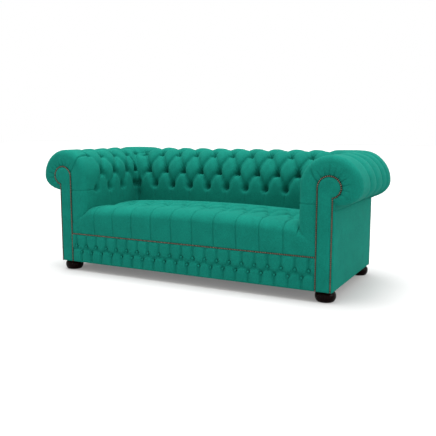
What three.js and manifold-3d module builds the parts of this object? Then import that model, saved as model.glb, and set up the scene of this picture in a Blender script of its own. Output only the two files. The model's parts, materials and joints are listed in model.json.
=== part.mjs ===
// Chesterfield sofa with tufted arms, back and seat, padded scroll facings and bun feet.
// Millimetres, +Z up, -Y to the front, and +X to the right of someone who looks at the front.
import * as THREE from 'three'
import Module from 'manifold-3d'
import { mergeVertices } from 'three/addons/utils/BufferGeometryUtils.js'

const wasm = await Module()
wasm.setup()

// Driving dimensions of the whole
const insideWidth = 1490 // between the two arms, at the depth of the buttons
const insideDepth = 622 // from the nail line in front to the back, at the depth of the buttons
const scrollReach = 168 // from an inside face to the centre of the roll
const scrollHeight = 630 // centre of the roll above the floor
const scrollRadius = 65.5 // nail line of the facing's round head
const scrollCurl = 10 // how far the nail line draws in on its way under the head to the stem
const rollPad = 109.5 // stuffing round the scroll
const cornerRadius = 40 // inside corner between arm and back, seen from above
const cornerFullnessShare = 0.05 // how much further the roll reaches at the corner
const floorClearance = 61.2 // underside of the body
const borderHeight = 250 // nail line over the front border
const rollDrop = 120 // from the roll's centre down to where its underside meets the outside panels
const fitGap = 0.3 // clearance between pieces that touch

// Back rake: the back's face is a taller curve and stands further forward than an arm's
const armFaceLead = 7
const backFaceLead = 32
const armCurveHeight = 175
const backCurveHeight = 300

// Boards and posts
const stemWidth = 85
const boardThickness = 19.7
const facingThickness = 2.4
const facingCrown = 10
const facingStep = 2.7
const panelThickness = 12.2
const railThickness = 40
const frontRailThickness = 32
const frontRailSetback = 12.3
const railDrop = 10 // top of the rails below the nail line of the border
const frontPostDepth = 52
const backPostSize = 95
const topRailWidth = 60
const topRailHeight = 50
const tackRailThickness = 30
const tackRailHeight = 40
const tackRailDrop = 230 // bottom of the tack rails below the roll's centre
const uprightWidth = 45
const uprightDepth = 42
const braceWidth = 50
const braceDrop = 40 // top of the brace below the rails, clear of the springs
const glueBlockLeg = 80
const glueBlockHeight = 75
const rollBlockSize = 56

// Feet and their bolts
const footRadius = 59.2
const footBaseRadius = 47
const footNeckRadius = 40
const footBellyHeight = 33
const footFrontSetback = 62.3
const footBackSetback = 38
const footSideSetback = 43.9
const boltRadius = 4
const boltInFoot = 41
const boltInPost = 49
const boltEndSpace = 2

// Springs, cloth and foam
const springCount = 9
const springWire = 4
const springWidth = 46
const springEndInset = 15
const springHalfWaves = 14
const springsBesideUpright = 3 // between a back upright and the arm
const clothThickness = 3
const dustThickness = 1.5
const dustInset = 16
const dustNotch = 125
const seatPadThickness = 113

// Tufting of the arms and back
const armPitch = 147
const armFirstButton = 140
const armButtons = 4
const backPitch = 144.5
const backButtonsEachSide = 4
const rowRises = [-90, 22, 140] // rows of buttons above the roll's centre
const plainDrop = 82 // from the lowest row down to where the tufts end
const armTuftDepths = [10, 20, 25]
const backTuftDepths = [34, 42, 48]
const outerRollSpacing = 110
const pillowCrownShare = 0.35 // how much of a pillow's height is its flat crown
const outerTuftShare = 0.3 // how much of a tuft's depth is left on the outside of the roll
const crestShare = 0.75 // level of the ring of points between the top row and the crest
const tuftStart = -0.35 // where the tufts begin ahead of an arm's first button, in pitches
const cornerTuftShare = 0.75
const bullnose = 42
const noseShares = [[1, 0], [0.55, 0.16], [0.2, 0.45], [0, 1]] // how far in and how far back

// Seat
const seatPitch = 146.3
const seatRowDepths = [190, 325, 450]
const seatTuft = 15
const seatFall = 11
const seatHeight = 458
const seatSideRound = 62
const seatSideDrop = 36
const seatCrown = 14
const seatFrontLead = 18
const seatFrontCurveDepth = 118
const seatFrontCurveShare = 0.55
const seatFallThickness = 60
const seatBackDrop = 16

// Border
const borderPitch = 81
const borderRowShares = [0.38, 0.58]
const borderLead = 8
const borderTuft = 6
const borderPleatShare = 0.5 // depth of the folds between the two rows
const borderFadeShare = 0.3 // depth left of the folds at the border's foot
const borderThickness = 12

// Nail trim
const trimWidth = 9
const trimThickness = 2.7

// Derived planes
const insideX = insideWidth / 2
const axisX = insideX - cornerRadius
const axisY = insideDepth - cornerRadius
const rollRadius = scrollRadius + rollPad
const rollTop = scrollHeight + rollRadius
const panelTop = scrollHeight - rollDrop
const rowHeights = rowRises.map((rise) => scrollHeight + rise)
const plainTop = rowHeights[0] - plainDrop
const stemIn = scrollReach - scrollRadius
const stemOut = stemIn + stemWidth
const wallReach = stemOut + fitGap + panelThickness
const frameInX = insideX + stemIn
const frameOutX = insideX + stemOut
const frameInY = insideDepth + stemIn
const frameOutY = insideDepth + stemOut
const wallX = insideX + wallReach
const wallY = insideDepth + wallReach
const boardFront = facingStep + fitGap
const boardBack = boardFront + boardThickness
const postFront = boardBack + fitGap
const postBack = postFront + frontPostDepth
const frontRailBack = frontRailSetback + frontRailThickness
const topRailBottom = scrollHeight - topRailHeight / 2
const backPostFront = frameOutY - backPostSize
const backPostIn = frameOutX - backPostSize
const railTop = borderHeight - railDrop
const tackRailBottom = scrollHeight - tackRailDrop
const padBottom = borderHeight + fitGap
const clothBottom = railTop + fitGap + springWire + fitGap
const foamBottom = clothBottom + clothThickness + fitGap
const foamTop = seatHeight - seatPadThickness
const faceX = insideX - armFaceLead
const faceY = insideDepth - backFaceLead
const springPitch = 2 * (faceX - springWidth) / (springCount - 1)
const sofaFront = -seatFrontLead
const sofaBack = insideDepth + scrollReach + rollRadius

// Materials
const finish = (name, color, roughness, metalness) => (
  new THREE.MeshStandardMaterial({ name, color, roughness, metalness })
)
const fabric = finish('green fabric', 0x147a66, 0.9, 0)
const darkWood = finish('dark wood', 0x1c0d08, 0.25, 0)
const frameWood = finish('frame wood', 0xb08a5a, 0.7, 0)
const brass = finish('antique brass', 0x5a3a22, 0.4, 0.8)
const steel = finish('spring steel', 0x8a8d90, 0.4, 0.9)
const foam = finish('foam', 0xe6dcb4, 0.95, 0)
const cloth = finish('black cloth', 0x202020, 0.95, 0)

const sofa = new THREE.Group()
sofa.position.y = -(sofaFront + sofaBack) / 2

function add(name, geometry, material) {
  const mesh = new THREE.Mesh(geometry, material)
  mesh.name = name
  sofa.add(mesh)
  return mesh
}

const lerp = (a, b, t) => a + (b - a) * t
const clamp01 = (t) => Math.min(1, Math.max(0, t))
const radians = THREE.MathUtils.degToRad
const range = (count, place) => Array.from({ length: count }, (_, i) => place(i))

// Value at a place between the entries of a list
function between(list, place) {
  const low = Math.floor(Math.min(list.length - 2, Math.max(0, place)))
  return lerp(list[low], list[low + 1], clamp01(place - low))
}

// Solid between rings of points. Each ring has as many points, and depth picks the fold of a quad.
function loft(rings) {
  const count = rings[0].length
  const points = rings.flat()
  const index = []
  const triangle = (a, b, c) => index.push(a, b, c)
  const fold = (a, b) => (points[a].depth || 0) + (points[b].depth || 0)
  for (let i = 0; i < rings.length - 1; i++) {
    for (let j = 0; j < count; j++) {
      const a = i * count + j
      const b = i * count + (j + 1) % count
      const c = a + count
      const d = b + count
      if (fold(a, d) >= fold(b, c)) {
        triangle(a, b, d)
        triangle(a, d, c)
      } else {
        triangle(a, b, c)
        triangle(b, d, c)
      }
    }
  }
  capTriangles(rings[0]).forEach(([a, b, c]) => triangle(c, b, a))
  const last = (rings.length - 1) * count
  capTriangles(rings.at(-1)).forEach(([a, b, c]) => triangle(last + a, last + b, last + c))
  return outward(points, index)
}

// Triangles over a flat ring, wound as the ring is
function capTriangles(ring) {
  const normal = new THREE.Vector3()
  ring.forEach((p, i) => normal.add(new THREE.Vector3().crossVectors(p, ring[(i + 1) % ring.length])))
  normal.normalize()
  const across = ring[1].clone().sub(ring[0]).normalize()
  const up = new THREE.Vector3().crossVectors(normal, across)
  const flat = ring.map((p) => new THREE.Vector2(p.dot(across), p.dot(up)))
  const turn = ([a, b, c]) => (
    flat[b].clone().sub(flat[a]).cross(flat[c].clone().sub(flat[a])) > 0 ? [a, b, c] : [a, c, b]
  )
  return THREE.ShapeUtils.triangulateShape(flat, []).map(turn)
}

// Geometry whose faces point out
function outward(points, index) {
  let volume = 0
  for (let i = 0; i < index.length; i += 3) {
    const [a, b, c] = [points[index[i]], points[index[i + 1]], points[index[i + 2]]]
    volume += a.dot(new THREE.Vector3().crossVectors(b, c))
  }
  if (volume < 0) index.reverse()
  const geometry = new THREE.BufferGeometry()
  const places = points.flatMap((p) => [p.x, p.y, p.z])
  geometry.setAttribute('position', new THREE.Float32BufferAttribute(places, 3))
  geometry.setIndex(index)
  return geometry
}

const mirrored = (rings) => rings.map((ring) => ring.map((p) => (
  Object.assign(new THREE.Vector3(-p.x, p.y, p.z), { depth: p.depth })
)))

// Box from its two corners
function box(x0, x1, y0, y1, z0, z1) {
  const geometry = new THREE.BoxGeometry(x1 - x0, y1 - y0, z1 - z0)
  return geometry.translate((x0 + x1) / 2, (y0 + y1) / 2, (z0 + z1) / 2)
}

// One solid cut out of another
function toSolid(geometry) {
  const bare = geometry.clone()
  bare.deleteAttribute('normal')
  bare.deleteAttribute('uv')
  const merged = mergeVertices(bare)
  return new wasm.Manifold(new wasm.Mesh({
    numProp: 3,
    vertProperties: new Float32Array(merged.attributes.position.array),
    triVerts: new Uint32Array(merged.index.array),
  }))
}

function subtract(geometry, tool) {
  const mesh = toSolid(geometry).subtract(toSolid(tool)).getMesh()
  const result = new THREE.BufferGeometry()
  result.setAttribute('position', new THREE.BufferAttribute(new Float32Array(mesh.vertProperties), 3))
  result.setIndex(new THREE.BufferAttribute(new Uint32Array(mesh.triVerts), 1))
  return result
}

function uprightCylinder(radius, x, y, z0, z1, sides = 16) {
  const geometry = new THREE.CylinderGeometry(radius, radius, z1 - z0, sides)
  return geometry.rotateX(Math.PI / 2).translate(x, y, (z0 + z1) / 2)
}

// Stations along the arms and back. out is the way to the outside, and run counts buttons.
const armStation = (y) => ({ x: insideX, y, out: [1, 0], rake: 0, wall: wallReach })
const backStation = (x) => ({ x, y: insideDepth, out: [0, 1], rake: 1, wall: wallReach })

function cornerStation(angle) {
  const out = [Math.cos(angle), Math.sin(angle)]
  const fullness = 1 + cornerFullnessShare * Math.sin(2 * angle) ** 2
  return {
    x: axisX + cornerRadius * out[0],
    y: axisY + cornerRadius * out[1],
    out,
    fullness,
    rake: angle / (Math.PI / 2),
    wall: ((wallReach + cornerRadius) / Math.max(...out) - cornerRadius) / fullness,
  }
}

// A point of a section at a station, u out from the inside face and z up
function placed(station, [u, z, depth = 0]) {
  const reach = u * (station.fullness || 1)
  const point = new THREE.Vector3(station.x + station.out[0] * reach, station.y + station.out[1] * reach, z)
  return Object.assign(point, { depth })
}

// Lattice of buttons. run counts columns, row counts rows, and the result is 0 on a crown and 1 at a button.
function tuft(run, row, lastRow) {
  const held = Math.min(lastRow, Math.max(0, row))
  const wave = (t) => Math.abs(Math.sin(Math.PI * t))
  const one = wave(run + held / 2)
  const two = wave(run - held / 2)
  const pillowShare = lerp(Math.sqrt(Math.min(one, two)), Math.max(one, two), pillowCrownShare)
  const fadeShare = lerp(1, outerTuftShare, clamp01(Math.abs(row - held)))
  return (1 - pillowShare) * fadeShare
}

// Outer outline of a pad: its face from the seat up, over the roll and under it to the outside panel.
// Each entry has u, z, the outward normal and the row of buttons that it lies on.
function padOutline(station, faceSteps, rollSteps) {
  const lead = lerp(armFaceLead, backFaceLead, station.rake)
  const curve = lerp(armCurveHeight, backCurveHeight, station.rake)
  const width = scrollReach + lead
  const start = rollTop - curve
  const rowAt = (z) => {
    if (z < rowHeights[0]) return (z - rowHeights[0]) / (rowHeights[1] - rowHeights[0])
    if (z < rowHeights[1]) return (z - rowHeights[0]) / (rowHeights[1] - rowHeights[0])
    return 1 + (z - rowHeights[1]) / (rowHeights[2] - rowHeights[1])
  }
  const onFace = (z) => {
    const rise = Math.max(0, z - start) / curve
    const inset = width * Math.sqrt(1 - rise * rise)
    const normal = new THREE.Vector2(-inset / width / width, rise / curve).normalize()
    return { u: scrollReach - inset, z, normal, row: rowAt(z) }
  }
  const crestRow = 2 + (rollTop - rowHeights[2]) / outerRollSpacing
  const onRoll = (angle) => ({
    u: scrollReach + rollRadius * Math.cos(angle),
    z: scrollHeight + rollRadius * Math.sin(angle),
    normal: new THREE.Vector2(Math.cos(angle), Math.sin(angle)),
    row: crestRow + (Math.PI / 2 - angle) * rollRadius / outerRollSpacing,
  })
  const under = scrollReach + rollRadius - station.wall
  const drop = scrollHeight - panelTop
  const onUnder = (angle) => ({
    u: station.wall + under * Math.cos(angle),
    z: scrollHeight - drop * Math.sin(angle),
    normal: new THREE.Vector2(Math.cos(angle) * drop, -Math.sin(angle) * under).normalize(),
    row: 2 + (Math.PI / 2 * rollRadius) / outerRollSpacing + angle,
  })
  return [
    ...faceSteps.map(onFace),
    ...range(rollSteps + 1, (i) => onRoll(Math.PI / 2 * (1 - i / rollSteps))),
    ...range(3, (i) => onUnder(Math.PI / 2 * (i + 1) / 3)),
  ]
}

// Inner outline of a pad, round the scroll board and the top rail, from the panel back to the face
function padLining(station, panelEdge) {
  const radius = (scrollRadius + fitGap) / Math.cos(Math.PI / 8)
  const round = range(6, (i) => {
    const angle = radians(-67.5 + 45 * i)
    return [scrollReach + radius * Math.cos(angle), scrollHeight + radius * Math.sin(angle)]
  })
  const wall = station.wall - (panelThickness / Math.max(...station.out)) / (station.fullness || 1)
  return [[wall, panelEdge], ...round, [stemIn - fitGap, padBottom]]
}

// Ring of a pad at a station. inset pulls the whole outside in, at the rounded front edge.
function padRing(station, faceSteps, rollSteps) {
  const inset = station.inset || 0
  const outline = padOutline(station, faceSteps, rollSteps)
  const outer = outline.map(({ u, z, normal, row }, i) => {
    const depths = [0, 1, 2].map((k) => lerp(armTuftDepths[k], backTuftDepths[k], station.rake))
    const seated = clamp01((z - plainTop) / plainDrop)
    const isEdge = i === outline.length - 1
    const share = station.run === undefined || isEdge || z < plainTop ? 0 : tuft(station.run, row, 2)
    const shown = row > 2 ? 1 : seated
    const sink = inset + share * shown * between(depths, row)
    return [u - normal.x * sink, (i === 0 ? padBottom : z - normal.y * sink), sink]
  })
  const lining = padLining(station, outer.at(-1)[1])
  return [...outer, ...lining].map((entry) => placed(station, entry))
}

const middle = (a, b) => (a + b) / 2
const [rowC, rowB, rowA] = rowHeights
const faceLevels = [
  padBottom, plainTop, middle(plainTop, rowC), rowC, middle(rowC, rowB), rowB, middle(rowB, rowA), rowA,
]
const crestLevel = lerp(rowA, rollTop, crestShare)

// Stations from the front of an arm to the mitre at the back corner
function armStations() {
  const nose = noseShares.map(([insetShare, depthShare]) => ({
    ...armStation(lerp(fitGap, bullnose, depthShare)), inset: insetShare * bullnose,
  }))
  const quarter = armPitch / 4
  const columns = Math.round((armButtons - 1) * 4)
  const step = (axisY - armFirstButton) / columns
  const lead = [{ ...armStation(armFirstButton - 2 * quarter), run: tuftStart }]
  const straight = range(columns + 1, (i) => ({
    ...armStation(armFirstButton + i * step), run: i / 4,
  }))
  const corner = range(4, (i) => ({
    ...cornerStation(Math.PI / 4 * (i + 1) / 4), run: armButtons - 1 + (i + 1) / 4,
  }))
  return [...nose, ...lead, ...straight, ...corner]
}

// Stations along the back from mitre to mitre
function backStations() {
  const lastButton = backButtonsEachSide * backPitch
  const columns = backButtonsEachSide * 4
  const cornerSteps = 4
  const right = [
    ...range(columns, (i) => ({ ...backStation((i + 1) * backPitch / 4), run: (i + 1) / 4 })),
    ...range(2, (i) => {
      const x = lastButton + (i + 1) * backPitch / 4
      return { ...backStation(x), run: backButtonsEachSide + (i + 1) / 4 }
    }),
    ...range(cornerSteps, (i) => {
      const share = i / (cornerSteps - 1)
      return {
        ...cornerStation(lerp(Math.PI / 2, Math.PI / 4, share)),
        run: backButtonsEachSide + lerp(cornerTuftShare, 1, share),
      }
    }),
  ]
  return [{ ...backStation(0), run: 0 }, ...right]
}

// Moves the last ring back along its run, so that two mitred ends stay clear of each other
function trimmed(rings, way) {
  const last = rings.at(-1)
  last.forEach((p) => p.addScaledVector(way, fitGap))
  return rings
}

const mitreToArm = new THREE.Vector3(Math.SQRT1_2, -Math.SQRT1_2, 0)
const mitreToBack = new THREE.Vector3(-Math.SQRT1_2, Math.SQRT1_2, 0)

function armPadRings() {
  const levels = [...faceLevels, crestLevel]
  return trimmed(armStations().map((station) => padRing(station, levels, 5)), mitreToArm)
}

function backPadRings() {
  const right = trimmed(backStations().map((station) => padRing(station, faceLevels, 4)), mitreToBack)
  return [...mirrored(right.slice(1)).reverse(), ...right]
}

// Rail of a plain section that follows the same way as the roll
function topRailRing(station) {
  const half = topRailWidth / 2
  const low = topRailBottom
  const high = topRailBottom + topRailHeight
  const section = [[-half, low], [half, low], [half, high], [-half, high]]
  return section.map(([u, z]) => placed(station, [scrollReach + u, z]))
}

function armTopRailRings() {
  const corner = range(5, (i) => cornerStation(Math.PI / 4 * i / 4))
  return trimmed([armStation(postFront), ...corner].map(topRailRing), mitreToArm)
}

function backTopRailRings() {
  const corner = range(5, (i) => cornerStation(Math.PI / 4 * (2 - i / 4)))
  const right = trimmed([backStation(0), ...corner].map(topRailRing), mitreToBack)
  return [...mirrored(right.slice(1)).reverse(), ...right]
}

// Seat
// Top of the seat over the width, highest in the middle and rounded down against the arms
function seatLevel(x) {
  const edge = faceX - fitGap
  const near = clamp01((Math.abs(x) - (edge - seatSideRound)) / seatSideRound)
  const side = seatSideDrop * (1 - Math.sqrt(1 - near * near))
  return seatHeight - seatCrown * (x / edge) ** 2 - side
}

// Back edge of the seat, cut across where the back and an arm meet
function seatBack(x) {
  const over = Math.max(0, Math.abs(x) - axisX)
  const slopeShare = (faceY - axisY) / (faceX - axisX)
  return faceY - fitGap - over * slopeShare
}

function seatRing(x) {
  const level = seatLevel(x)
  const back = seatBack(x)
  const run = x / seatPitch + 0.5
  const curveHeight = (level - padBottom) * seatFrontCurveShare
  const shoulder = level - curveHeight
  const curveEnd = seatFrontCurveDepth - seatFrontLead
  const rowAt = (y) => {
    if (y < seatRowDepths[1]) return (y - seatRowDepths[0]) / (seatRowDepths[1] - seatRowDepths[0])
    return 1 + (y - seatRowDepths[1]) / (seatRowDepths[2] - seatRowDepths[1])
  }
  const fall = [0, 0.5].map((t) => ({
    y: lerp(0, -seatFrontLead, t), z: lerp(padBottom + trimWidth / 2, shoulder, t),
    normal: [-1, 0], depth: seatFall * t * 2, row: -1,
  }))
  const front = range(5, (i) => {
    const angle = Math.PI / 2 * i / 4
    return {
      y: curveEnd - seatFrontCurveDepth * Math.cos(angle),
      z: shoulder + curveHeight * Math.sin(angle),
      normal: [-Math.cos(angle), Math.sin(angle)], depth: seatFall, row: -1 + i / 8,
    }
  })
  const [row1, row2, row3] = seatRowDepths
  const topPlaces = [
    row1 - (row2 - row1) / 2, row1, middle(row1, row2), row2, middle(row2, row3), row3,
    middle(row3, back), back,
  ]
  const top = topPlaces.map((y) => ({
    y, z: level - seatBackDrop * clamp01((y - row3) / (back - row3)) ** 2,
    normal: [0, 1], depth: seatTuft, row: rowAt(y),
  }))
  const outer = [...fall, ...front, ...top].map(({ y, z, normal, depth, row }) => {
    const sink = depth * tuft(run, row, 2)
    return [y - normal[0] * sink, z - normal[1] * sink, sink]
  })
  const first = [[fitGap, padBottom]]
  const ceiling = foamTop + fitGap
  const hollow = [[back, ceiling], [seatFallThickness, ceiling], [seatFallThickness, padBottom]]
  return [...first, ...outer, ...hollow].map(([y, z, sink = 0]) => (
    Object.assign(new THREE.Vector3(x, y, z), { depth: sink })
  ))
}

function seatRings() {
  const edge = faceX - fitGap
  const quarters = Math.floor(edge / (seatPitch / 4))
  const inner = range(2 * quarters + 1, (i) => (i - quarters) * seatPitch / 4)
  const kept = inner.filter((x) => Math.abs(x) < edge - seatPitch / 16)
  return [-edge, ...kept, edge].map(seatRing)
}

// Border
function borderRing(x) {
  const [low, high] = borderRowShares.map((share) => lerp(floorClearance, borderHeight, share))
  const levels = [floorClearance, middle(floorClearance, low), low, middle(low, high), high,
    middle(high, borderHeight), borderHeight - trimWidth / 2, borderHeight - fitGap]
  const outer = levels.map((z, i) => {
    const bulge = Math.min(1, Math.min(z - floorClearance, borderHeight - z) / (low - floorClearance))
    const row = (z - high) / (high - low)
    const run = x / borderPitch
    const share = row > -1 ? tuft(run, row, 0) : tuft(run + 0.5, 0, 0) * lerp(1, borderFadeShare, bulge)
    const underTrim = Math.abs(x) > frameInX - trimWidth
    const isEdge = underTrim || i === 0 || i > levels.length - 3
    const sink = isEdge ? 0 : borderTuft * (row > -1 && row < 0 ? borderPleatShare : share)
    const y = Math.sqrt(Math.max(0, bulge)) * -borderLead + sink
    return Object.assign(new THREE.Vector3(x, isEdge ? fitGap : y, z), { depth: sink })
  })
  const backLevels = [borderHeight - fitGap, floorClearance]
  return [...outer, ...backLevels.map((z) => new THREE.Vector3(x, borderThickness, z))]
}

function borderRings() {
  const edge = frameInX - fitGap
  const flat = frameInX - trimWidth + fitGap
  const halves = Math.floor((flat - trimWidth) / (borderPitch / 2))
  const inner = range(2 * halves + 1, (i) => (i - halves) * borderPitch / 2)
  return [-edge, -flat, ...inner, flat, edge].map(borderRing)
}

// Facing
// Outline of the scroll board: a straight stem with a round head, from the inner foot round to the outer
function scrollOutline(steps = 18) {
  const endRadius = scrollRadius - scrollCurl
  const meet = -Math.acos((stemOut - scrollReach) / endRadius)
  const head = range(steps + 1, (i) => {
    const angle = lerp(Math.PI, meet, i / steps)
    const radius = lerp(scrollRadius, endRadius, clamp01(angle / meet))
    return [scrollReach + radius * Math.cos(angle), scrollHeight + radius * Math.sin(angle)]
  })
  return [[stemIn, floorClearance], ...head, [stemOut, floorClearance]].map(([u, z]) => (
    new THREE.Vector2(insideX + u, z)
  ))
}

// The same outline moved inward by a distance at every side
function insetOutline(outline, distance) {
  return outline.map((p, i) => {
    const before = outline.at(i - 1)
    const after = outline[(i + 1) % outline.length]
    const a = p.clone().sub(before).normalize()
    const b = after.clone().sub(p).normalize()
    const side = new THREE.Vector2(a.y + b.y, -(a.x + b.x)).normalize()
    const reach = distance / Math.max(0.5, side.dot(new THREE.Vector2(a.y, -a.x)))
    return p.clone().addScaledVector(side, reach)
  })
}

const standing = (outline, y) => outline.map((p) => new THREE.Vector3(p.x, y, p.y))

function facingRings() {
  const outline = scrollOutline()
  const crownSteps = [[trimWidth / 2, 0], [trimWidth, 0.55], [2 * trimWidth, 0.85], [3 * trimWidth, 1]]
  const edge = facingStep - facingThickness
  const crown = crownSteps.map(([inset, riseShare]) => (
    standing(insetOutline(outline, inset), edge - facingCrown * riseShare)
  ))
  return [standing(outline, facingStep), standing(outline, edge), ...crown]
}

function boardRings() {
  return [standing(scrollOutline(), boardFront), standing(scrollOutline(), boardBack)]
}

// Trim: a flat band that follows a line in the front plane
function band(line) {
  return line.map((p, i) => {
    const before = line[Math.max(0, i - 1)]
    const after = line[Math.min(line.length - 1, i + 1)]
    const along = after.clone().sub(before).normalize()
    const side = new THREE.Vector2(-along.y, along.x)
    const corners = [[-1, 0], [1, 0], [1, -1], [-1, -1]]
    return corners.map(([across, front]) => {
      const at = p.clone().addScaledVector(side, across * trimWidth / 2)
      return new THREE.Vector3(at.x, front * trimThickness, at.y)
    })
  })
}

function borderTrimRings() {
  const edge = frameInX - trimWidth / 2 - fitGap
  return band([new THREE.Vector2(-edge, borderHeight), new THREE.Vector2(edge, borderHeight)])
}

// Feet
function footProfile() {
  const steps = 8
  const top = floorClearance - fitGap
  const belly = range(steps + 1, (i) => {
    const angle = lerp(-1, 1, i / steps)
    const inward = angle < 0 ? footRadius - footBaseRadius : footRadius - footNeckRadius
    const z = angle < 0 ? footBellyHeight * (1 + angle) : lerp(footBellyHeight, top, angle)
    return new THREE.Vector2(footRadius - inward * angle * angle, z)
  })
  const bore = boltRadius + fitGap
  const boreEnd = floorClearance - boltInFoot - boltEndSpace
  return [
    new THREE.Vector2(0, 0), ...belly, new THREE.Vector2(bore, top), new THREE.Vector2(bore, boreEnd),
    new THREE.Vector2(0, boreEnd),
  ]
}

function footGeometry(x, y) {
  const geometry = new THREE.LatheGeometry(footProfile(), 28)
  return geometry.rotateX(Math.PI / 2).translate(x, y, 0)
}

function drilledPost(x0, x1, y0, y1, z1, footX, footY) {
  const body = box(x0, x1, y0, y1, floorClearance, z1)
  const boreTop = floorClearance + boltInPost + boltEndSpace
  const bore = uprightCylinder(boltRadius + fitGap, footX, footY, floorClearance - boltInFoot, boreTop)
  return subtract(body, bore)
}

// Triangular block in a corner of the base frame, its legs along the two rails
function glueBlock(x, y, wayX, wayY) {
  const foot = floorClearance
  const corners = [[0, 0], [wayX * glueBlockLeg, 0], [0, wayY * glueBlockLeg]]
  return loft([foot, foot + glueBlockHeight].map((z) => (
    corners.map(([dx, dy]) => new THREE.Vector3(x + dx, y + dy, z))
  )))
}

// Zigzag spring: a square wire that runs to and fro across its width
function springRings(x) {
  const start = frontRailSetback + springEndInset
  const end = frameOutY - springEndInset
  const z = railTop + fitGap + springWire / 2
  const step = (end - start) / (springHalfWaves + 1)
  const half = springWidth / 2
  const turns = range(springHalfWaves, (i) => {
    const side = i % 2 ? -half : half
    const y = start + (i + 1) * step
    const quarter = step / 4
    return [[x + side, y - quarter], [x + side, y + quarter]]
  }).flat()
  const line = [[x, start], [x, start + step / 4], ...turns, [x, end - step / 4], [x, end]]
  const path = line.map(([px, py]) => new THREE.Vector2(px, py))
  return path.map((p, i) => {
    const a = (i ? p.clone().sub(path[i - 1]) : path[1].clone().sub(p)).normalize()
    const b = (i < path.length - 1 ? path[i + 1].clone().sub(p) : p.clone().sub(path[i - 1])).normalize()
    const side = new THREE.Vector2(-(a.y + b.y), a.x + b.x).normalize()
    const reach = springWire / 2 / Math.max(0.5, side.dot(new THREE.Vector2(-a.y, a.x)))
    const corners = [[-1, -1], [1, -1], [1, 1], [-1, 1]]
    const along = side.multiplyScalar(reach)
    return corners.map(([across, up]) => (
      new THREE.Vector3(p.x + along.x * across, p.y + along.y * across, z + up * springWire / 2)
    ))
  })
}

// Dust cover with its corners cut out round the feet
function dustCover() {
  const x1 = frameOutX - dustInset
  const y0 = frontRailSetback + dustInset
  const y1 = frameOutY - dustInset
  const corner = (sx, y, sy) => [
    [sx * x1, y + sy * dustNotch], [sx * (x1 - dustNotch), y + sy * dustNotch], [sx * (x1 - dustNotch), y],
  ]
  const outline = [
    ...corner(1, y0, 1).reverse(), ...corner(1, y1, -1),
    ...corner(-1, y1, -1).reverse(), ...corner(-1, y0, 1),
  ]
  const top = floorClearance - fitGap
  const level = (z) => outline.map(([x, y]) => new THREE.Vector3(x, y, z))
  return loft([top - dustThickness, top].map(level))
}

// Assembly
// Base frame
const postIn = frameInX
const railEndX = postIn - fitGap
const backRailFront = frameOutY - railThickness
const backRailEnd = backPostIn - fitGap
add('front_rail', box(-railEndX, railEndX, frontRailSetback, frontRailBack,
  floorClearance, railTop), frameWood)
add('back_rail', box(-backRailEnd, backRailEnd, backRailFront, frameOutY,
  floorClearance, railTop), frameWood)
add('centre_brace', box(-braceWidth / 2, braceWidth / 2, frontRailBack + fitGap,
  backRailFront - fitGap, floorClearance, railTop - braceDrop), frameWood)

// What stands on both sides, the right one being at +X
const sides = [['left', -1], ['right', 1]]
const flipped = (geometry, side) => {
  if (side > 0) return geometry
  const position = geometry.attributes.position
  for (let i = 0; i < position.count; i++) position.setX(i, -position.getX(i))
  const index = geometry.index ? Array.from(geometry.index.array) : range(position.count, (i) => i)
  geometry.setIndex(index.reverse())
  return geometry
}

const feet = [['front', footFrontSetback], ['back', frameOutY - footBackSetback]]
const footX = frameOutX - footSideSetback

// Place of a spring across the seat, by its number from the left. The uprights stand between springs.
const springX = (i) => (i - (springCount - 1) / 2) * springPitch
const uprightX = springX(springCount - springsBesideUpright - 1 / 2)

for (const [name, side] of sides) {
  const put = (piece, geometry, material) => add(`${name}_${piece}`, flipped(geometry, side), material)
  put('side_rail', box(frameOutX - railThickness, frameOutX, postBack + fitGap, backPostFront - fitGap,
    floorClearance, railTop), frameWood)
  put('front_post', drilledPost(postIn, frameOutX, postFront, postBack, topRailBottom - fitGap,
    footX, feet[0][1]), frameWood)
  const blockFoot = panelTop - panelThickness
  put('back_post', drilledPost(backPostIn, frameOutX, backPostFront, frameOutY, blockFoot - fitGap,
    footX, feet[1][1]), frameWood)
  const blockReach = (cornerRadius + stemIn + rollBlockSize / 2 + rollBlockSize / 6 + fitGap) * Math.SQRT1_2
  const block = new THREE.BoxGeometry(rollBlockSize, rollBlockSize, topRailBottom - fitGap - blockFoot)
  block.rotateZ(Math.PI / 4)
  block.translate(axisX + blockReach, axisY + blockReach, (blockFoot + topRailBottom - fitGap) / 2)
  put('roll_block', block, frameWood)
  put('arm_top_rail', loft(armTopRailRings()), frameWood)
  put('arm_tack_rail', box(postIn, postIn + tackRailThickness, postBack + fitGap, backPostFront - fitGap,
    tackRailBottom, tackRailBottom + tackRailHeight), frameWood)
  put('scroll_board', loft(boardRings()), frameWood)
  put('front_glue_block', glueBlock(railEndX, frontRailBack + fitGap, -1, 1), frameWood)
  put('back_glue_block', glueBlock(backRailEnd, backRailFront - fitGap, -1, -1), frameWood)
  put('back_upright', box(uprightX - uprightWidth / 2, uprightX + uprightWidth / 2,
    frameOutY - uprightDepth, frameOutY, railTop + fitGap, topRailBottom - fitGap), frameWood)
  put('arm_pad', loft(armPadRings()), fabric)
  put('outside_arm_panel', box(frameOutX + fitGap, wallX, fitGap, wallY - panelThickness - fitGap,
    floorClearance, panelTop - fitGap), fabric)
  put('facing', loft(facingRings()), fabric)
  put('facing_nail_trim', loft(band(scrollOutline(28))), brass)
  for (const [end, y] of feet) {
    put(`${end}_foot`, footGeometry(footX, y), darkWood)
    put(`${end}_foot_bolt`, uprightCylinder(boltRadius, footX, y, floorClearance - boltInFoot,
      floorClearance + boltInPost), steel)
  }
}

add('back_top_rail', loft(backTopRailRings()), frameWood)
add('back_tack_rail', box(-backRailEnd, backRailEnd, frameInY, frameInY + tackRailThickness,
  tackRailBottom, tackRailBottom + tackRailHeight), frameWood)

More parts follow.
